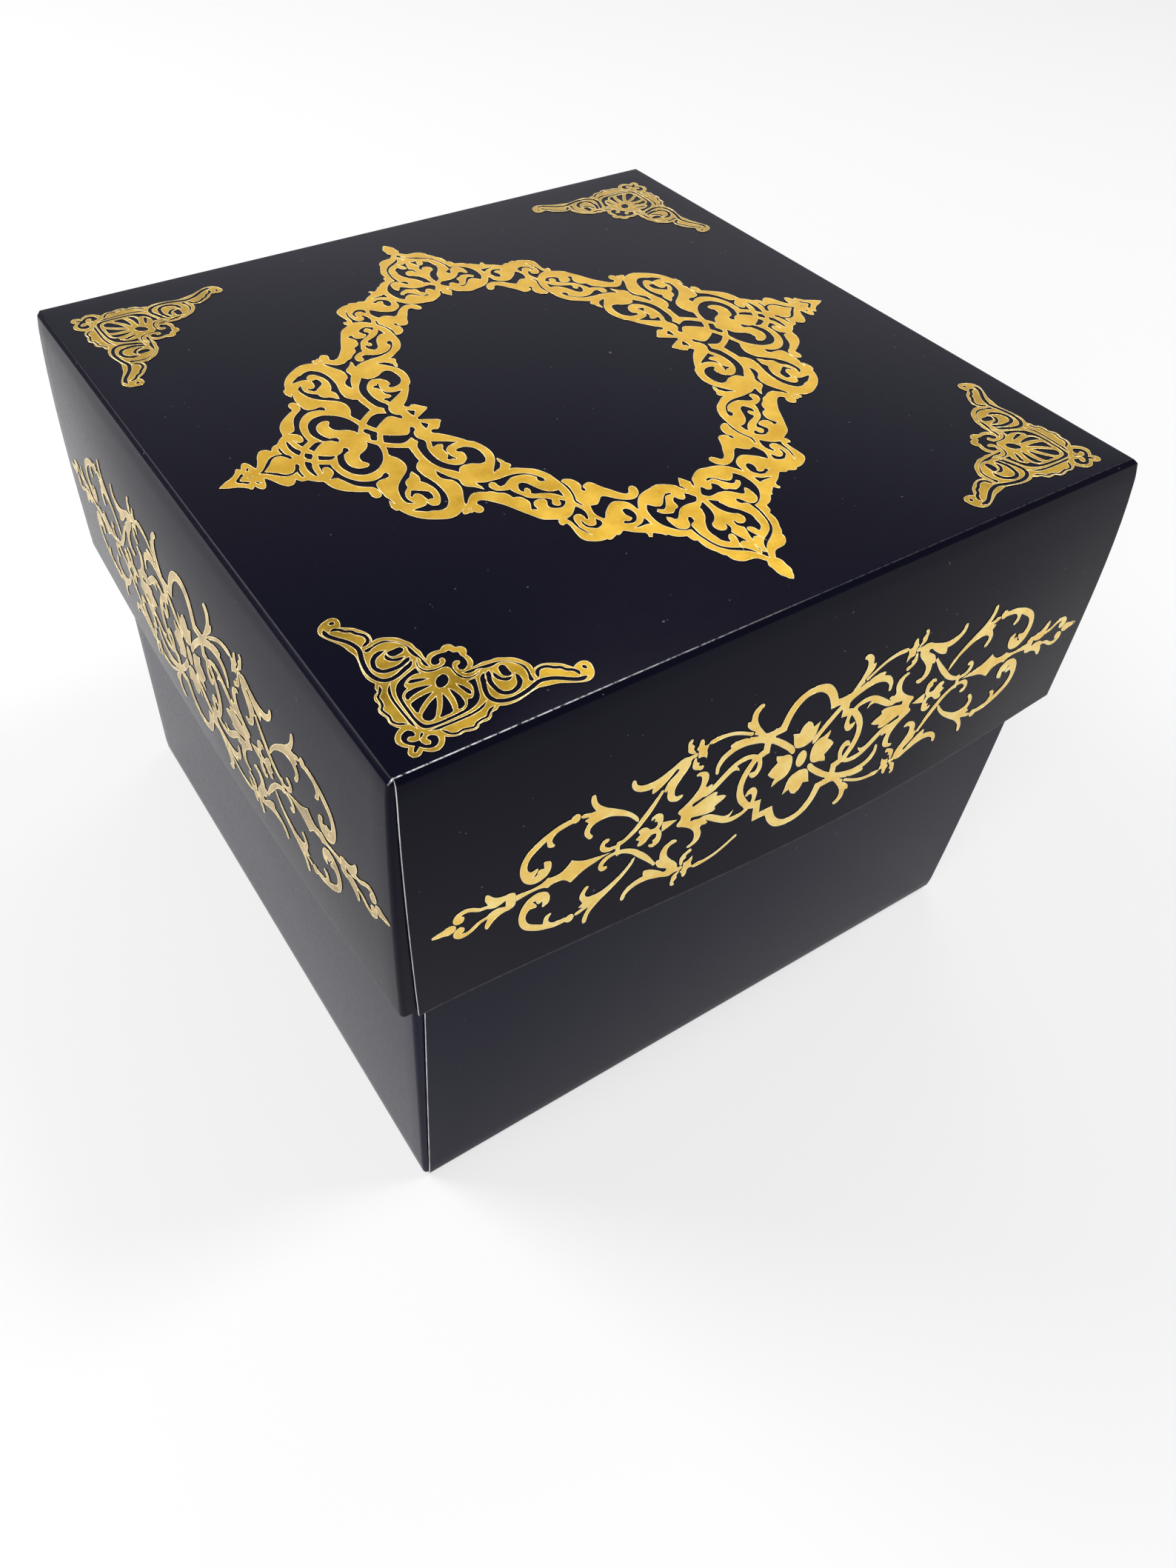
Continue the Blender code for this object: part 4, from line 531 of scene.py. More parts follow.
# Whole shapes: the arched stalk, the star flower, a leaf under and one over it, the two-leaved
# sprig, the thorned leaf and the big curl with its ball
WALL_SHAPES = [
    [(8.75, 8.95), (9.3, 9.3), (10.0, 9.75), (10.8, 10.2), (11.7, 10.6), (12.6, 10.85), (13.5, 10.98),
     (14.4, 10.98), (14.93, 10.8), (14.9, 10.55), (14.55, 10.42), (13.5, 10.45), (12.6, 10.38),
     (11.7, 10.15), (10.8, 9.75), (10.0, 9.3), (9.4, 8.95), (9.0, 8.68), (8.75, 8.68)],
    [(16.15, 11.82), (16.35, 11.4), (16.42, 11.0), (16.65, 10.6, SHARP), (16.35, 10.2), (16.3, 9.7),
     (16.25, 9.1, SHARP), (15.8, 9.05), (15.4, 8.85), (15.12, 8.55, SHARP), (15.12, 9.2),
     (15.25, 9.8), (15.12, 10.2), (15.05, 10.6, SHARP), (15.5, 10.55), (15.75, 10.8), (15.8, 11.3),
     (15.95, 11.65)],
    [(16.65, 9.25), (16.82, 8.95), (16.88, 8.4), (16.85, 7.9), (16.6, 7.5), (16.2, 7.2), (16.0, 7.1),
     (15.6, 6.9), (15.4, 7.05), (15.4, 7.4), (15.8, 7.55), (16.1, 7.8), (16.05, 8.2, SHARP),
     (16.4, 8.45), (16.5, 8.8)],
    [(17.5, 12.55), (17.85, 12.4), (17.95, 12.0), (17.88, 11.4), (17.78, 10.8), (17.5, 10.5),
     (17.1, 10.25), (16.8, 10.2, SHARP), (17.0, 10.55), (17.18, 10.9), (17.12, 11.35, SHARP),
     (17.4, 11.7), (17.6, 12.0), (17.45, 12.3)],
    [(16.5, 9.75), (16.6, 10.0), (17.0, 10.0), (17.5, 9.92), (18.0, 10.05), (18.6, 10.0), (19.0, 9.8),
     (19.6, 9.45), (20.2, 9.2), (21.0, 8.85), (21.8, 8.65), (22.6, 8.63), (23.4, 8.8), (24.0, 9.1),
     (24.4, 9.55), (24.55, 10.05), (24.8, 10.32), (24.97, 10.05), (24.9, 9.4), (24.6, 8.8),
     (24.1, 8.3), (23.4, 7.9), (22.6, 7.7), (22.0, 7.7, SHARP), (22.08, 7.1), (22.0, 6.7, SHARP),
     (21.5, 6.85), (21.0, 7.15), (20.5, 7.55), (20.1, 7.9), (19.7, 8.3), (19.3, 8.75), (18.95, 8.9),
     (18.72, 8.7), (18.8, 8.35), (19.2, 8.0), (19.7, 7.6), (20.05, 7.2), (20.25, 6.7), (20.38, 6.15),
     (20.2, 5.92, SHARP), (19.9, 6.1, SHARP), (19.88, 5.5), (19.85, 4.9), (19.65, 4.35),
     (19.3, 3.9), (18.8, 3.6), (18.3, 3.45), (17.9, 3.65), (17.72, 4.0), (18.0, 4.1), (18.5, 4.2),
     (18.85, 4.5), (18.98, 5.0), (18.98, 5.6), (18.8, 6.2), (18.5, 6.7), (18.2, 7.2), (17.8, 7.7),
     (17.5, 8.2), (17.3, 8.7), (17.25, 9.2), (17.05, 9.45), (16.6, 9.5)],
    [(23.52, 3.12, SHARP), (23.6, 3.65), (24.0, 4.35), (24.5, 5.0), (25.1, 5.65), (25.8, 6.3),
     (26.5, 6.85), (27.2, 7.4), (27.9, 7.9), (28.5, 8.45), (29.0, 9.0), (29.4, 9.7), (29.6, 10.5),
     (29.75, 10.95), (29.95, 11.0), (30.1, 10.65), (30.05, 9.9), (29.8, 9.2), (29.5, 8.6),
     (29.3, 8.2, SHARP), (30.0, 8.35), (30.7, 8.6), (31.1, 8.6), (31.22, 8.4), (30.9, 8.12),
     (30.3, 7.9), (30.1, 7.75, SHARP), (30.7, 7.5, SHARP), (30.4, 7.15), (30.2, 6.9, SHARP),
     (30.45, 6.4), (30.65, 5.8), (30.6, 5.2), (30.3, 4.6), (29.85, 4.15), (29.62, 4.35), (29.85, 4.8),
     (30.05, 5.3), (30.0, 5.8), (29.7, 6.2), (29.1, 6.45), (28.4, 6.5), (27.7, 6.4), (27.0, 6.15),
     (26.3, 5.75), (25.6, 5.3), (25.0, 4.85), (24.5, 4.3), (24.0, 3.65), (23.72, 3.25)],
    [(31.4, 8.6), (31.5, 8.95), (31.9, 9.25), (32.3, 9.05), (32.5, 8.78, SHARP), (33.0, 8.8),
     (34.0, 8.7), (35.0, 8.35), (36.0, 7.9), (37.0, 7.2), (37.7, 6.55), (38.2, 5.7), (38.45, 4.8),
     (38.5, 3.9), (38.35, 3.0), (38.05, 2.2), (37.6, 1.6), (37.0, 1.15), (36.3, 1.02), (35.6, 1.2),
     (35.1, 1.6), (34.8, 2.2), (34.72, 2.9), (34.85, 3.5), (35.2, 3.75), (35.55, 3.85), (35.55, 3.4),
     (35.5, 2.68, SHARP), (35.9, 2.9), (36.15, 2.88), (36.3, 2.6), (36.45, 2.2), (37.0, 2.12, SHARP),
     (36.7, 2.5), (36.45, 2.9), (36.4, 3.3), (36.8, 3.25), (37.2, 3.2), (37.5, 3.5), (37.7, 4.0),
     (37.7, 4.7), (37.5, 5.4), (37.1, 6.0), (36.5, 6.5), (35.9, 6.95), (35.4, 7.28, SHARP),
     (35.32, 6.7), (35.2, 6.15), (34.7, 5.8), (34.45, 5.85), (34.65, 6.3), (34.8, 6.9), (34.6, 7.4),
     (34.2, 7.8), (33.5, 8.0), (32.8, 8.1), (32.35, 8.15, SHARP), (32.0, 8.0), (31.65, 8.05)],
]
# Where a wall's print has its middle: how far to the right, and its height as a share of the
# lid's depth. The die met the left wall higher up.
WALL_PRINT_PLACES = {"front": (0.0020, 0.335), "right": (0, 0.335), "back": (0, 0.335),
                     "left": (0.0026, 0.438)}
# Seen from the camera the front print runs straight over the belly, so it lies there in a slight
# arch, which makes up for this share of the belly
FRONT_ARCH = 0.75


class Shade:
    """An output in a material's tree. Adding and multiplying it adds Math nodes."""

    def __init__(self, finish, socket):
        self.finish = finish
        self.socket = socket

    def maths(self, operation, first, second):
        return self.finish.add("ShaderNodeMath", {"operation": operation}, {0: first, 1: second})

    def __add__(self, other):
        return self.maths("ADD", self, other)

    def __mul__(self, other):
        return self.maths("MULTIPLY", self, other)


class Finish:
    """One material or world, and the nodes in it."""

    def __init__(self, block):
        block.use_nodes = True
        self.block = block
        self.tree = block.node_tree

    def put(self, node, sockets):
        for key, value in sockets.items():
            if isinstance(value, Shade):
                self.tree.links.new(value.socket, node.inputs[key])
            else:
                node.inputs[key].default_value = value

    def add(self, kind, settings={}, sockets={}, output=0):
        """A node of this kind: its settings first, then values or links for its sockets."""
        node = self.tree.nodes.new(kind)
        for key, value in settings.items():
            if key == "stops":
                ramp = node.color_ramp.elements
                while len(ramp) < len(value):
                    ramp.new(1)
                for element, (place, colour) in zip(ramp, value):
                    element.position = place
                    element.color = (*colour, 1)
            else:
                setattr(node, key, value)
        self.put(node, sockets)
        return Shade(self, node.outputs[output])

    def place(self, kind="Object"):
        return self.add("ShaderNodeTexCoord", output=kind)

    def axes(self, place):
        return (self.add("ShaderNodeSeparateXYZ", {}, {0: place}, output=axis) for axis in "XYZ")

    def noise(self, place, scale, detail=2, roughness=0.5):
        return self.add("ShaderNodeTexNoise", {},
                        {"Vector": place, "Scale": scale, "Detail": detail, "Roughness": roughness})

    def ramp(self, value, low, high, start=0, end=1):
        return self.add("ShaderNodeMapRange", {"clamp": True},
                        {"Value": value, "From Min": low, "From Max": high, "To Min": start,
                         "To Max": end})

    def mix(self, share, first, second):
        """Two colours mixed: the A and B sockets for colour are the sixth and seventh."""
        return self.add("ShaderNodeMix", {"data_type": "RGBA"}, {0: share, 6: first, 7: second},
                        output=2)

    def bump(self, height, distance, strength):
        return self.add("ShaderNodeBump", {},
                        {"Height": height, "Distance": distance, "Strength": strength})

    def surface(self, **sockets):
        shader = self.tree.nodes["Principled BSDF"]
        self.put(shader, {key.replace("_", " "): value for key, value in sockets.items()})


def new_finish(name):
    return Finish(bpy.data.materials.new(name))


def laminated_navy(name, blue, pale_rim_and_fold_highlight):
    """Glossy film over an almost black navy print. The lid's has a paler rim and a painted highlight on
    its front fold, where the film is partly cracked.
    """
    finish = new_finish(name)
    place = finish.place()
    film = finish.noise(place, 900, 3, 0.6)
    drift = finish.noise(place, 14, 2)
    specks = finish.ramp(finish.noise(place, 800, 1, 0.4), 0.80, 0.815)
    tint = finish.mix(drift, (0.0022, 0.0019, blue, 1), (0.0034, 0.0030, blue * 1.35, 1))
    colour = finish.mix(specks * 0.6, tint, (0.14, 0.14, 0.15, 1))
    if pale_rim_and_fold_highlight:
        x, y, z = finish.axes(place)
        # a paler band along the lid's rim, broken up by noise
        rim_breakup = finish.noise(place, 420, 3, 0.7)
        rim = finish.ramp(z, *(RIM_HEIGHT + up for up in RIM_PALE_BAND), 1, 0)
        colour = finish.mix(rim * finish.ramp(rim_breakup, 0.35, 0.65, 0.25, 0.8), colour,
                            (0.075, 0.075, 0.08, 1))
        # the front fold's upper bend: a pale, broken line of painted highlight where the film has partly
        # cracked, most of all on the left
        bend = (finish.ramp(y, *(FRONT_FOLD - out for out in BEND_HIGHLIGHT_IN))
                * finish.ramp(y, *(FRONT_FOLD - out for out in BEND_HIGHLIGHT_OUT), 1, 0)
                * finish.ramp(z, *(BOX_HEIGHT - below for below in BEND_HIGHLIGHT_BELOW)))
        cracked_highlight = finish.ramp(finish.noise(place, 700, 4, 0.75), 0.38, 0.56)
        colour = finish.mix(bend * cracked_highlight * finish.ramp(x, *BEND_HIGHLIGHT_ALONG, 1, 0.05), colour,
                            (0.85, 0.85, 0.88, 1))
    finish.surface(Base_Color=colour, Roughness=finish.ramp(film + drift * 0.6, 0.5, 1.1, 0.18, 0.27),
                   IOR=1.147, Normal=finish.bump(film, 0.00002, 0.5))
    return finish.block


def raw_board():
    """Uncoated white board, on the inside of the carton."""
    finish = new_finish("uncoated_white_board")
    place = finish.place()
    fibres = finish.noise(place, 1500, 4, 0.7)
    cloud = finish.noise(place, 60, 3)
    colour = finish.mix(fibres * 0.6 + cloud * 0.4, (0.66, 0.65, 0.61, 1), (0.80, 0.79, 0.76, 1))
    finish.surface(Base_Color=colour, Roughness=0.85, Normal=finish.bump(fibres, 0.00004, 0.6))
    return finish.block


def cut_edge():
    """The die-cut edge of the board: pale fibres with a darker line now and then."""
    finish = new_finish("die_cut_board_edge")
    place = finish.place()
    fibres = finish.noise(place, 2600, 3, 0.7)
    nicks = finish.ramp(finish.noise(place, 240, 2), 0.38, 0.55)
    colour = finish.mix(fibres * nicks, (0.42, 0.42, 0.42, 1), (0.86, 0.86, 0.84, 1))
    finish.surface(Base_Color=colour, Roughness=0.9, Normal=finish.bump(fibres, 0.00005, 0.8))
    return finish.block


def gold(name, deep, pale, roughness, metallic=1.0):
    """Hot-stamped foil: a thin mirror with the card's grain and the die's unevenness."""
    finish = new_finish(name)
    place = finish.place()
    grain = finish.noise(place, 1400, 3, 0.6)
    waves = finish.noise(place, 170, 3, 0.55)
    colour = finish.mix(finish.ramp(waves + grain * 0.3, 0.45, 0.85), deep, pale)
    finish.surface(Base_Color=colour, Metallic=metallic,
                   Roughness=finish.ramp(waves, 0.3, 0.7, roughness - 0.06, roughness + 0.06),
                   Normal=finish.bump(waves + grain * 0.35, 0.00006, 0.7))
    return finish.block


def held(share):
    return min(max(share, 0), 1)


def quarter_turn(side):
    return Matrix.Rotation(SIDES.index(side) * math.pi / 2, 4, "Z")


def wall_axes(side):
    """Outwards from a wall, and along it to the right as it is seen from outside."""
    turn = quarter_turn(side)
    return turn @ Vector((0, -1, 0)), turn @ Vector((1, 0, 0))


def belly(row, across, down):
    """How far a wall stands out, from shares across it and down it from the fold."""
    left_end, right_end, middle, skew, rim_share = row
    soon = (1 - (1 - down) ** 4) * (1 - (1 - rim_share) * down ** 4)
    ends = left_end + (right_end - left_end) * across
    most = middle * math.sin(math.pi * across ** skew)
    # a wall that isn't drawn in at the rim bellies evenly down to it
    return ends * soon + most * (down if rim_share == 1 else soon)


def swell(place, down, side_length, bellies):
    """Where the walls' bellies carry a place on them, or on a flap behind one."""
    moved = Vector((0, 0, 0))
    for side, row in bellies.items():
        out, along = wall_axes(side)
        near = held(1 - (side_length / 2 - place.dot(out)) / BELLY_FADE)
        across = held(place.dot(along) / side_length + 1 / 2)
        moved += out * belly(row, across, down) * near * near * (3 - 2 * near)
    return moved


def lid_swell(place):
    down = held((BOX_HEIGHT - FOLD_REACH - place.z) / (LID_DEPTH - FOLD_REACH))
    return swell(place, down, LID_SIDE, LID_BELLIES)


def crown(x, y):
    """How far the lid's top stands up at a place on it."""
    half = LID_SIDE / 2 - FOLD_REACH
    return TOP_CROWN * max(0, 1 - (x / half) ** 2) * max(0, 1 - (y / half) ** 2)


def fold_steps(depth):
    """Moves of the card's outer face over a fold and down a wall, as (outwards, down) pairs."""
    angle = 0
    steps = []
    for length, turn, count in FOLD_BENDS:
        for _ in range(count):
            angle += math.radians(turn) / count / 2
            steps.append(Vector((math.cos(angle), math.sin(angle))) * length / count)
            angle += math.radians(turn) / count / 2
    reached = sum(steps, Vector((0, 0)))
    # the bends are scaled to the fold's reach, then the plain wall follows
    scale = FOLD_REACH / reached.x
    steps = [step * scale for step in steps]
    down = (depth - reached.y * scale) / WALL_ROWS
    return steps + [Vector((0, down))] * WALL_ROWS


def extend(bm, edges, moves):
    """Extrudes a row of edges once for each move and returns every row of corner points."""
    rows = []
    for move in moves:
        grown = bmesh.ops.extrude_edge_only(bm, edges=edges)["geom"]
        points = [item for item in grown if isinstance(item, bmesh.types.BMVert)]
        edges = [item for item in grown if isinstance(item, bmesh.types.BMEdge)
                 and item.is_boundary and all(end in points for end in item.verts)]
        bmesh.ops.translate(bm, verts=points, vec=move)
        rows.append(points)
    return rows


def folded_card(side, depth, bellies, crowned):
    """One die-cut card, creased and folded: a square panel on top, walls and glue flaps.

    It is made with the panel's outer face at z = 0 and the walls hanging down. The front wall's
    right end covers its corner.
    """
    flat = side / 2 - FOLD_REACH
    bm = bmesh.new()
    bmesh.ops.create_grid(bm, x_segments=PANEL_SQUARES, y_segments=PANEL_SQUARES, size=flat)
    steps = fold_steps(depth)
    behind = side / 2 - CARD - SEAT_GAP - FLAP_TURN_RADIUS
    for wall in SIDES:
        out, along = wall_axes(wall)
        edges = [edge for edge in bm.edges if edge.is_boundary
                 and all(abs(end.co.dot(out) - flat) < IN_PLANE and abs(end.co.z) < IN_PLANE
                         for end in edge.verts)]
        rows = extend(bm, edges, [out * step.x - Vector((0, 0, step.y)) for step in steps])
        over_flaps = wall in ("front", "back")
        for points in rows:
            drop = -points[0].co.z / depth
            inset = EDGE_INSET_AT_FOLD + (EDGE_INSET_AT_RIM - EDGE_INSET_AT_FOLD) * drop
            share = min((points[0].co.dot(out) - flat) / FOLD_REACH, 1)
            for point in points:
                x = point.co.dot(along)
                half = side / 2 - inset if over_flaps else behind
                if wall == "front" and x > 0:
                    half = side / 2
                point.co += along * x * (half - flat) * share / flat
        if not over_flaps:
            turn_flaps(bm, rows, out, along, depth)
    for vertex in bm.verts:
        if crowned and abs(vertex.co.z) < ON_PANEL:
            vertex.co.z = crown(vertex.co.x, vertex.co.y)
        lift_walls(vertex, side, depth, bellies)
    bm.normal_update()
    if next(iter(bm.faces)).normal.z < 0:
        bmesh.ops.reverse_faces(bm, faces=bm.faces[:])
    return bm


def turn_flaps(bm, rows, out, along, depth):
    """Glue flaps from both ends of a side wall, turned round the corner behind its neighbour."""
    for hand in (1, -1):
        ends = [max(points, key=lambda point: point.co.dot(along) * hand) for points in rows]
        edges = [edge for upper, lower in zip(ends, ends[1:]) for edge in upper.link_edges
                 if edge.other_vert(upper) is lower]
        arc = [math.pi / 2 * step / TURN_STEPS for step in range(TURN_STEPS + 1)]
        moves = [along * hand * FLAP_TURN_RADIUS * (math.sin(after) - math.sin(before))
                 - out * FLAP_TURN_RADIUS * (math.cos(before) - math.cos(after))
                 for before, after in zip(arc, arc[1:])]
        moves += [-out * FLAP_LENGTH / 2, -out * FLAP_LENGTH / 2]
        flap_rows = extend(bm, edges, moves)
        # the flap is cut short of the fold and the rim, and its far end is chamfered
        for step, points in enumerate(flap_rows):
            share = min((step + 1) / TURN_STEPS, 1)
            cut = FLAP_CHAMFER if step == len(flap_rows) - 1 else 0
            top = -FOLD_REACH * 1.25 * share - cut
            low = -depth + CARD * share + cut
            for point in points:
                point.co.z = min(max(point.co.z, low), top) if step > 0 else point.co.z


def lift_walls(vertex, side, depth, bellies):
    """The belly of the walls, and the front and back walls' ends that lift off the flaps."""
    place = vertex.co
    if place.z > -FOLD_REACH / 2:
        return
    down = held((-place.z - FOLD_REACH) / (depth - FOLD_REACH))
    moved = swell(place, down, side, bellies)
    if abs(place.y) > side / 2 - CARD / 2:
        end = max(0, 1 - (side / 2 - abs(place.x)) / EDGE_LIFT_LENGTH)
        moved.y += math.copysign(EDGE_LIFT * end * end * down, place.y)
    vertex.co += moved


def placed(name, data):
    """A new object in the scene, with this mesh, curve, lamp or camera."""
    thing = bpy.data.objects.new(name, data)
    bpy.context.scene.collection.objects.link(thing)
    return thing


def mesh_from(name, bm, finishes):
    mesh = bpy.data.meshes.new(name)
    bm.to_mesh(mesh)
    bm.free()
    for finish in finishes:
        mesh.materials.append(finish)
    return mesh


def evaluated_mesh(thing):
    evaluated = thing.evaluated_get(bpy.context.evaluated_depsgraph_get())
    return bpy.data.meshes.new_from_object(evaluated)


def card_piece(name, bm, place, body, nodes, finishes):
    """The finished card, with the board's thickness on its inner side."""
    bm.transform(place)
    if place.determinant() < 0:
        bmesh.ops.reverse_faces(bm, faces=bm.faces[:])
    mesh = mesh_from(name, bm, finishes)
    mesh.shade_smooth()
    piece = placed(name, mesh)
    solid = piece.modifiers.new("board", "SOLIDIFY")
    solid.thickness = CARD
    solid.offset = -1
    solid.material_offset = 1
    solid.material_offset_rim = 2
    thick = evaluated_mesh(piece)
    piece.modifiers.clear()
    piece.data = thick
    thick.set_sharp_from_angle(angle=math.radians(CREASE_DEGREES))
    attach(piece, body)
    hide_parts(*nodes)


def card_nodes(prefix, flat_name):
    walls = [f"{prefix}_{side}_wall" for side in SIDES]
    flaps = [f"{prefix}_{side}_{end}_glue_flap" for side in ("front", "back")
             for end in ("left", "right")]
    return [f"{prefix}_{flat_name}", *walls, *flaps]


def carton(lid_finishes, tray_finishes):
    """Lid and tray. The tray is made like the lid and then turned over in the mirror."""
    lid = folded_card(LID_SIDE, LID_DEPTH, LID_BELLIES, True)
    card_piece("lid_card", lid, Matrix.Translation((0, 0, BOX_HEIGHT)), "lid",
               card_nodes("lid", "top_panel"), lid_finishes)
    tray = folded_card(TRAY_SIDE, TRAY_HEIGHT, TRAY_BELLIES, False)
    card_piece("tray_card", tray, Matrix.Scale(-1, 4, (0, 0, 1)), "tray",
               card_nodes("base", "bottom_panel"), tray_finishes)


def foil_curve(name, loops, steps):
    """A flat curve in the printed shape: loops inside loops are gaps."""
    curve = bpy.data.curves.new(name, "CURVE")
    curve.dimensions = "2D"
    curve.resolution_u = steps
    for loop in loops:
        spline = curve.splines.new("BEZIER")
        spline.bezier_points.add(len(loop) - 1)
        for point, (x, y, *sharp) in zip(spline.bezier_points, loop):
            point.co = (x * STEP, y * STEP, 0)
            point.handle_left_type = point.handle_right_type = "VECTOR" if sharp else "AUTO"
        spline.use_cyclic_u = True
    return curve


def curve_mesh(curve):
    drawn = placed(curve.name, curve)
    mesh = evaluated_mesh(drawn)
    bpy.data.objects.remove(drawn)
    return mesh


def hairline(width, path):
    """The closed loop round an open path, pointed at both ends."""
    there, back = [], []
    for index, point in enumerate(path[1:-1], 1):
        before, after = Vector(path[index - 1]), Vector(path[index + 1])
        across = (after - before).normalized().orthogonal() * width / 2
        there.append(tuple(Vector(point) + across))
        back.append(tuple(Vector(point) - across))
    return [(*path[0], SHARP), *there, (*path[-1], SHARP), *reversed(back)]


def foil_piece(name, loops, place, finishes, node, shape, steps=4, rim_facets=1):
    """Foil with a softly rounded, slightly raised rim along every edge of the print.

    steps is how finely the curves are drawn, and shape lays the placed print on the card.
    """
    curve = foil_curve(name, loops, steps)
    curve.fill_mode = "BOTH"
    curve.extrude = FOIL_THICKNESS / 2
    plate = curve_mesh(curve)
    rim = foil_curve(name + "_rim", loops, steps)
    rim.fill_mode = "NONE"
    rim.bevel_depth = RIM_WIDTH / 2
    rim.bevel_resolution = rim_facets
    rim_mesh = curve_mesh(rim)
    rim_mesh.transform(Matrix.Translation((0, 0, FOIL_THICKNESS / 2))
                       @ Matrix.Diagonal((1, 1, RIM_FLATNESS, 1)))
    bm = bmesh.new()
    bm.from_mesh(plate)
    first = len(bm.faces)
    bm.from_mesh(rim_mesh)
    bm.faces.ensure_lookup_table()
    # the rim takes the second finish, the gold with a painted highlight
    for face in bm.faces[first:]:
        face.material_index = 1
        face.smooth = True
    bm.transform(place)
    shape(bm)
    piece = placed(name, mesh_from(name, bm, finishes))
    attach(piece, "lid")
    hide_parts(node)


def from_corner(points):
    """Points of a corner piece, measured from where its diagonal starts."""
    return [(point[0] - CORNER_START[0], point[1] - CORNER_START[1], *point[2:])
            for point in points]


def across_diagonal(points):
    return [(y, x, *sharp) for x, y, *sharp in points]


def closed_over_diagonal(half):
    """A loop from the half that starts and ends on a corner piece's diagonal."""
    own = from_corner(half)
    return own + across_diagonal(own[-2:0:-1])


def corner_loops():
    loops = [closed_over_diagonal(half) for half in (CORNER_EDGE, *CORNER_CROSSING_GAPS)]
    outside, inside = from_corner(CORNER_BAND_OUTSIDE), from_corner(CORNER_BAND_INSIDE)
    loops.append(outside + across_diagonal(outside[-2::-1]) + across_diagonal(inside[:-1])
                 + inside[::-1])
    for gap in CORNER_GAPS + [hairline(*stroke) for stroke in CORNER_STROKES]:
        own = from_corner(gap)
        loops += [own, across_diagonal(own)]
    return loops


def cut_in_strips(bm, across, width, each_way):
    for step in range(-each_way, each_way + 1):
        bmesh.ops.bisect_plane(bm, geom=bm.verts[:] + bm.edges[:] + bm.faces[:], dist=1e-7,
                               plane_co=across * step * width, plane_no=across)


def follow_crown(bm):
    """Cuts a flat print into squares and lays it on the crowned top."""
    for across in ((1, 0, 0), (0, 1, 0)):
        cut_in_strips(bm, Vector(across), *TOP_STRIPS)
    for vertex in bm.verts:
        vertex.co.z += crown(vertex.co.x, vertex.co.y)


def evened(points):
    """Points on the crowned panel, as (a, b, sharp), moved to where they lie on a flat one."""
    push_a, push_b, slope, reach = EVEN_OUT
    moved = []
    for a, b, *sharp in points:
        side = 1 - (a / reach) ** 2
        moved.append((a + push_a * side * (1 - (b / reach) ** 4),
                      b + push_b * side * (1 - (b / reach) ** 2) - slope * a, *sharp))
    return moved


def flipped(points, a_sign, b_sign):
    return [(a * a_sign, b * b_sign, *sharp) for a, b, *sharp in points]


def in_each_quarter(points):
    return [flipped(points, *signs) for signs in ((1, 1), (1, -1), (-1, 1), (-1, -1))]


def onto_axes(points, first, last):
    """The same points with the first and the last one put on an axis, 0 for a and 1 for b."""
    ends = []
    for point, axis in ((points[0], first), (points[-1], last)):
        point = list(point)
        point[axis] = 0
        ends.append(tuple(point))
    return [ends[0], *points[1:-1], ends[1]]


def over_axis(half, axis):
    """A loop from its half on one side of an axis, and the same loop on the print's other side."""
    over, opposite = (((-1, 1), (1, -1)), ((1, -1), (-1, 1)))[axis]
    own = onto_axes(half, axis, axis)
    loop = own + flipped(own[-2:0:-1], *over)
    return [loop, flipped(loop, *opposite)]


def around(quarters):
    """One loop from four quarters, each listed from the upright axis to the level one."""
    loop = []
    for number, quarter in enumerate(quarters):
        a_sign, b_sign = ((1, 1), (1, -1), (-1, -1), (-1, 1))[number]
        part = flipped(quarter, a_sign, b_sign)
        loop += part[::-1][1:] if number % 2 else part[1:]
    return loop


def medallion_loops():
    loops = []
    for quarter in (MEDALLION_EDGE, MEDALLION_OPENING):
        loops.append(around([onto_axes(evened(quarter), 0, 1)] * 4))
    for half in SIDE_AXIS_GAPS:
        loops += over_axis(evened(half), 1)
    for half in FRONT_AXIS_GAPS:
        loops += over_axis(evened(half), 0)
    for gap in MEDALLION_GAPS:
        loops += in_each_quarter(evened(gap))
    return loops


def medallion_print(finishes):
    place = Matrix.Translation((*TOP_PRINT_SHIFT, BOX_HEIGHT + FOIL_LIFT))
    foil_piece("medallion_print", medallion_loops(), place, finishes, "foil_medallion", follow_crown,
               steps=3, rim_facets=0)


def wall_evened(points):
    """Points on the bellied front wall, moved to where they lie on a flat one."""
    stretch, lean, reach = WALL_EVEN_OUT
    return [(a * stretch - b * lean * max(0, 1 - a / reach), b, *sharp) for a, b, *sharp in points]


def wall_loops(bare_lower_left):
    """A wall print's loops. The photographed front lacks the spray and spear at the lower left."""
    frame = FRAME_ARC + FRAME_SPRAY + FRAME_STEM
    opening = OPENING_ARC + OPENING_SPEAR + OPENING_CURL
    bare_frame = FRAME_ARC + FRAME_BARE_STEP + FRAME_STEM
    bare_opening = OPENING_ARC + OPENING_BARE_STEP + OPENING_CURL
    loops = []
    for whole, bare in ((frame, bare_frame), (opening, bare_opening), (FLOWER_EYE, FLOWER_EYE)):
        quarters = [onto_axes(wall_evened(quarter), 0, 1)
                    for quarter in (whole, bare if bare_lower_left else whole, whole, whole)]
        loops.append(around(quarters))
    loops += over_axis(wall_evened(UPPER_PETAL), 0)
    for half in WALL_AXIS_SHAPES:
        loops += over_axis(wall_evened(half), 1)
    for shape in WALL_SHAPES:
        loops += in_each_quarter(wall_evened(shape))
    # the quarter is listed to the left, and a wall's own x runs to the right
    return [flipped(loop, -1, 1) for loop in loops]


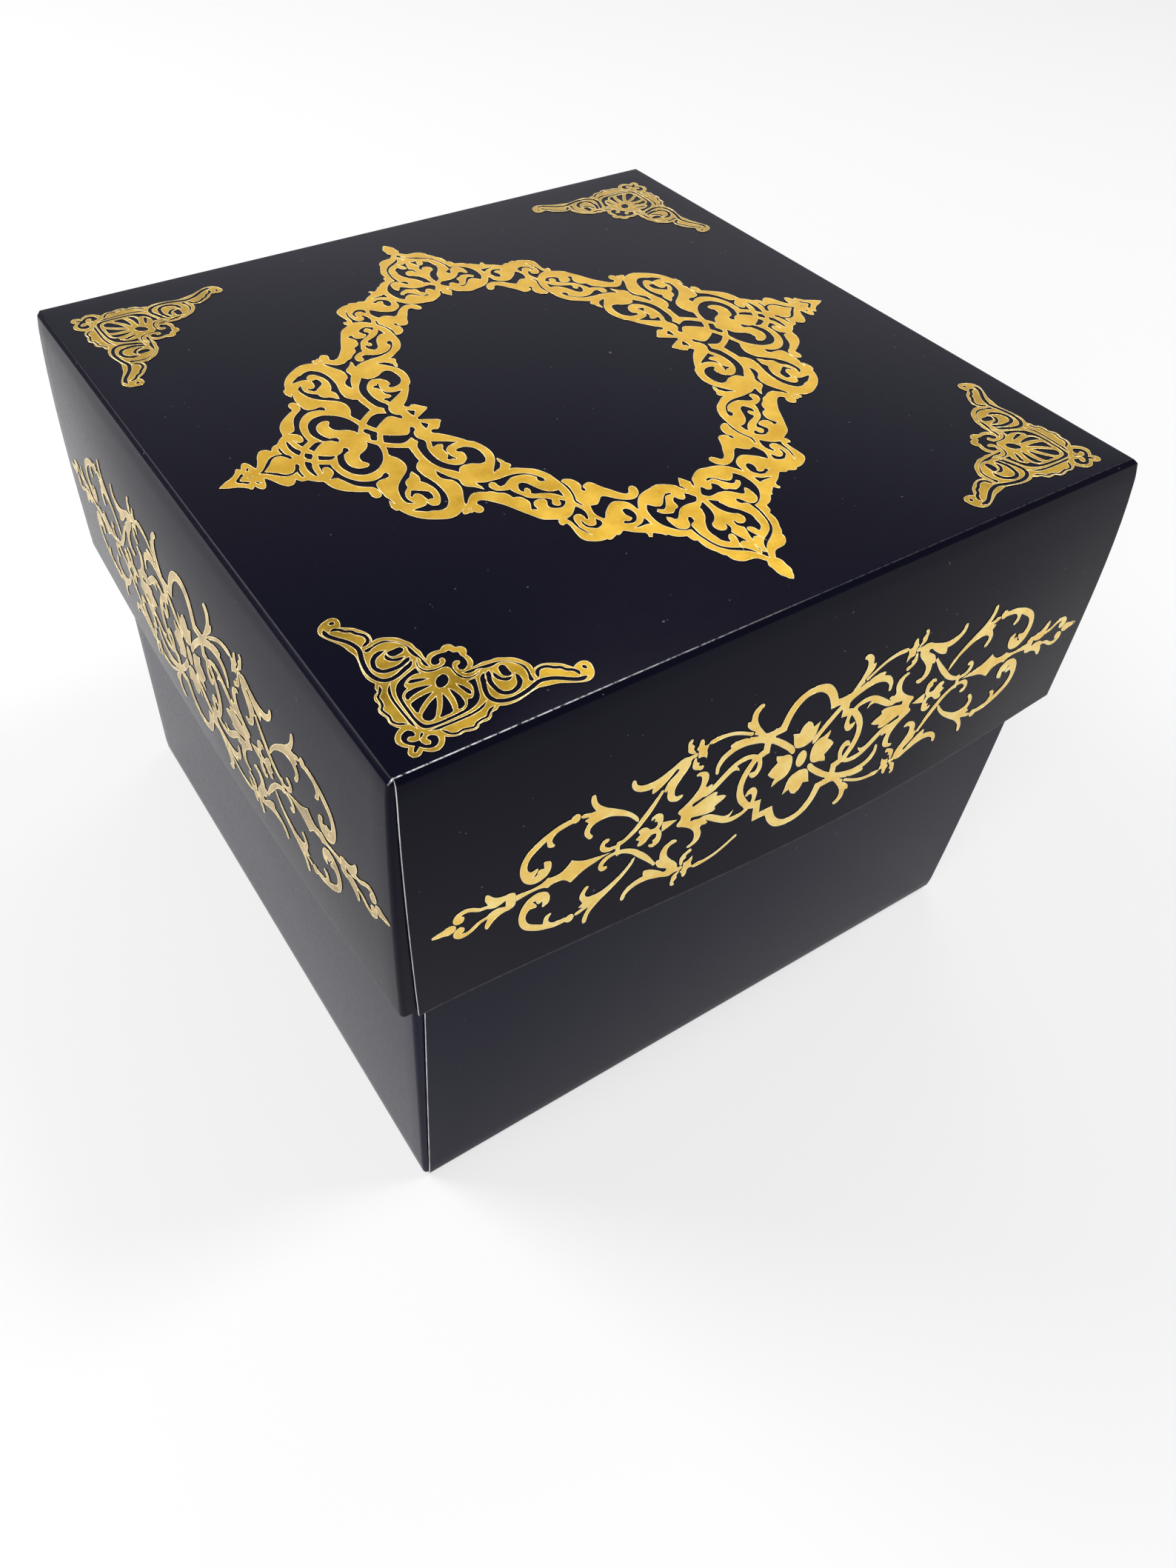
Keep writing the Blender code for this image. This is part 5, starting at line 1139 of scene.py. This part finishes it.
def follow_belly(bm, side):
    """Cuts a flat print into strips and lays it on a bellied wall."""
    out, along = wall_axes(side)
    cut_in_strips(bm, along, *WALL_STRIPS)
    _, eye_y, eye_height = CAMERA_PLACE
    eye_distance = -eye_y - LID_SIDE / 2
    for vertex in bm.verts:
        if side == "front":
            stands_out = lid_swell(vertex.co).dot(out)
            vertex.co.z += FRONT_ARCH * stands_out * (eye_height - vertex.co.z) / eye_distance
        vertex.co += lid_swell(vertex.co)


def wall_prints(face_gold_painted_bright, side_gold_painted_shade, rim_gold_painted_highlight):
    for side in SIDES:
        # the front and back take the gold with a painted bright reflection, the sides the gold with
        # painted shade
        finishes = (face_gold_painted_bright if side in ("front", "back") else side_gold_painted_shade, rim_gold_painted_highlight)
        shift, share = WALL_PRINT_PLACES[side]
        height = BOX_HEIGHT - LID_DEPTH * (1 - share)
        place = (quarter_turn(side)
                 @ Matrix.Translation((shift, -LID_SIDE / 2 - FOIL_LIFT, height))
                 @ Matrix.Rotation(math.pi / 2, 4, "X"))
        foil_piece(f"{side}_wall_print", wall_loops(side == "front"), place, finishes,
                   f"foil_{side}_wall", lambda bm, side=side: follow_belly(bm, side))


def corner_prints(finishes):
    middle = Matrix.Translation((*TOP_PRINT_SHIFT, BOX_HEIGHT + FOIL_LIFT))
    outer = Matrix.Translation((-CORNER_REACH * STEP, -CORNER_REACH * STEP, 0))
    size = Matrix.Diagonal((CORNER_SIZE, CORNER_SIZE, 1, 1))
    loops = corner_loops()
    for turns, (end, nudge) in enumerate(CORNER_NUDGES.items()):
        place = (middle @ Matrix.Translation((*nudge, 0))
                 @ Matrix.Rotation(turns * math.pi / 2, 4, "Z") @ outer @ size)
        foil_piece(f"{end}_corner_print", loops, place, finishes, f"foil_{end}_corner", follow_crown)


def background_share(finish, to_camera, mirrored):
    """The white background's share for what the camera sees, and for what foil and film mirror."""
    seen, glossy, through = (finish.add("ShaderNodeLightPath", output=f"Is {ray} Ray")
                             for ray in ("Camera", "Glossy", "Transmission"))
    return seen * to_camera + (glossy + through) * mirrored


def studio():
    """Pale floor, lamps, the camera, and a dim room with a bright window wall behind the box."""
    scene = bpy.context.scene
    scene.view_settings.view_transform = "Standard"
    world = bpy.data.worlds.new("soft_studio")
    scene.world = world
    sky = Finish(world)
    to_right, to_back, up = sky.axes(sky.place("Generated"))
    # the window ends above, is dimmer low down, and opens towards the right and the back
    window = (sky.ramp(up, 0.52, 0.70, 1, 0) * sky.ramp(up, 0.36, 0.50, 0.70, 1)
              * sky.ramp(to_right, -0.30, 0.06) * sky.ramp(to_back, -0.1, 0.2))
    room = sky.mix(window, ROOM_DIM, ROOM_WINDOW)
    light = sky.mix(background_share(sky, *WHITE_OVER_ROOM), room, (1, 1, 1, 1))
    sky.put(sky.tree.nodes["Background"], {"Color": light, "Strength": 1.0})

    paper = new_finish("pale_floor")
    paper.surface(Base_Color=(0.86, 0.86, 0.86, 1), Roughness=0.9)
    glow = paper.add("ShaderNodeEmission", {}, {"Color": (1, 1, 1, 1), "Strength": 1.0})
    plain = Shade(paper, paper.tree.nodes["Principled BSDF"].outputs[0])
    both = paper.add("ShaderNodeMixShader", {},
                     {0: background_share(paper, *WHITE_OVER_FLOOR), 1: plain, 2: glow})
    paper.put(paper.tree.nodes["Material Output"], {"Surface": both})
    bm = bmesh.new()
    bmesh.ops.create_grid(bm, x_segments=1, y_segments=1, size=FLOOR_REACH)
    floor = placed("floor", mesh_from("floor", bm, [paper.block]))
    floor.location.z = -FLOOR_DROP

    for name, (place, size, power) in LAMPS.items():
        lamp = bpy.data.lights.new(name, "AREA")
        lamp.size = size
        lamp.energy = power
        turn = (LAMP_AIM - Vector(place)).to_track_quat("-Z", "Y").to_matrix().to_4x4()
        placed(name, lamp).matrix_world = Matrix.Translation(place) @ turn

    camera_data = bpy.data.cameras.new("camera")
    camera_data.sensor_width = 36
    camera_data.lens = CAMERA_LENS
    camera_data.shift_x, camera_data.shift_y = CAMERA_SHIFT
    camera_data.clip_start = 0.01
    camera = placed("camera", camera_data)
    forward = Vector(CAMERA_FORWARD).normalized()
    right = Vector(CAMERA_RIGHT)
    right = (right - forward * right.dot(forward)).normalized()
    upward = right.cross(forward)
    turn = Matrix((right, upward, -forward)).transposed().to_4x4()
    camera.matrix_world = Matrix.Translation(CAMERA_PLACE) @ turn
    scene.camera = camera


board, edge = raw_board(), cut_edge()
carton((laminated_navy("laminated_navy_lid", 0.0078, True), board, edge),
       (laminated_navy("laminated_navy_tray", 0.013, False), board, edge))
# The foil is one material, in copies whose colours paint how light falls on each place. On top, painted
# light: a deeper gold
top_gold_painted_light = gold("gold_on_top_painted_light", (0.82, 0.465, 0.036, 1), (1.0, 0.63, 0.08, 1), 0.32)
# In the corners, painted dark reflection: a darker gold for the dim room that the foil mirrors there
corner_gold_painted_dark = gold("gold_in_corners_painted_dark_reflection", (0.48, 0.285, 0.024, 1), (0.72, 0.45, 0.05, 1), 0.32)
# On the front and back, painted bright reflection: a paler gold for the bright floor that the foil
# mirrors
wall_gold_painted_bright = gold("gold_on_front_and_back_painted_bright_reflection", (0.88, 0.56, 0.10, 1), (1.0, 0.80, 0.30, 1), 0.34)
# On the sides, painted shade: a greyer, darker gold
side_gold_painted_shade = gold("gold_on_sides_painted_shade", (0.38, 0.275, 0.12, 1), (0.82, 0.63, 0.33, 1), 0.38)
# On the raised rims, painted highlight: a paler, less metallic gold for the light their edges catch
rim_gold_painted_highlight = gold("raised_foil_rim_painted_highlight", (0.98, 0.76, 0.32, 1), (1.0, 0.90, 0.55, 1), 0.30, 0.6)
corner_rim_painted_highlight = gold("raised_rim_in_corners_painted_highlight", (0.82, 0.62, 0.25, 1), (0.95, 0.80, 0.46, 1), 0.28, 0.8)
corner_prints((corner_gold_painted_dark, corner_rim_painted_highlight))
medallion_print((top_gold_painted_light, rim_gold_painted_highlight))
wall_prints(wall_gold_painted_bright, side_gold_painted_shade, rim_gold_painted_highlight)
studio()
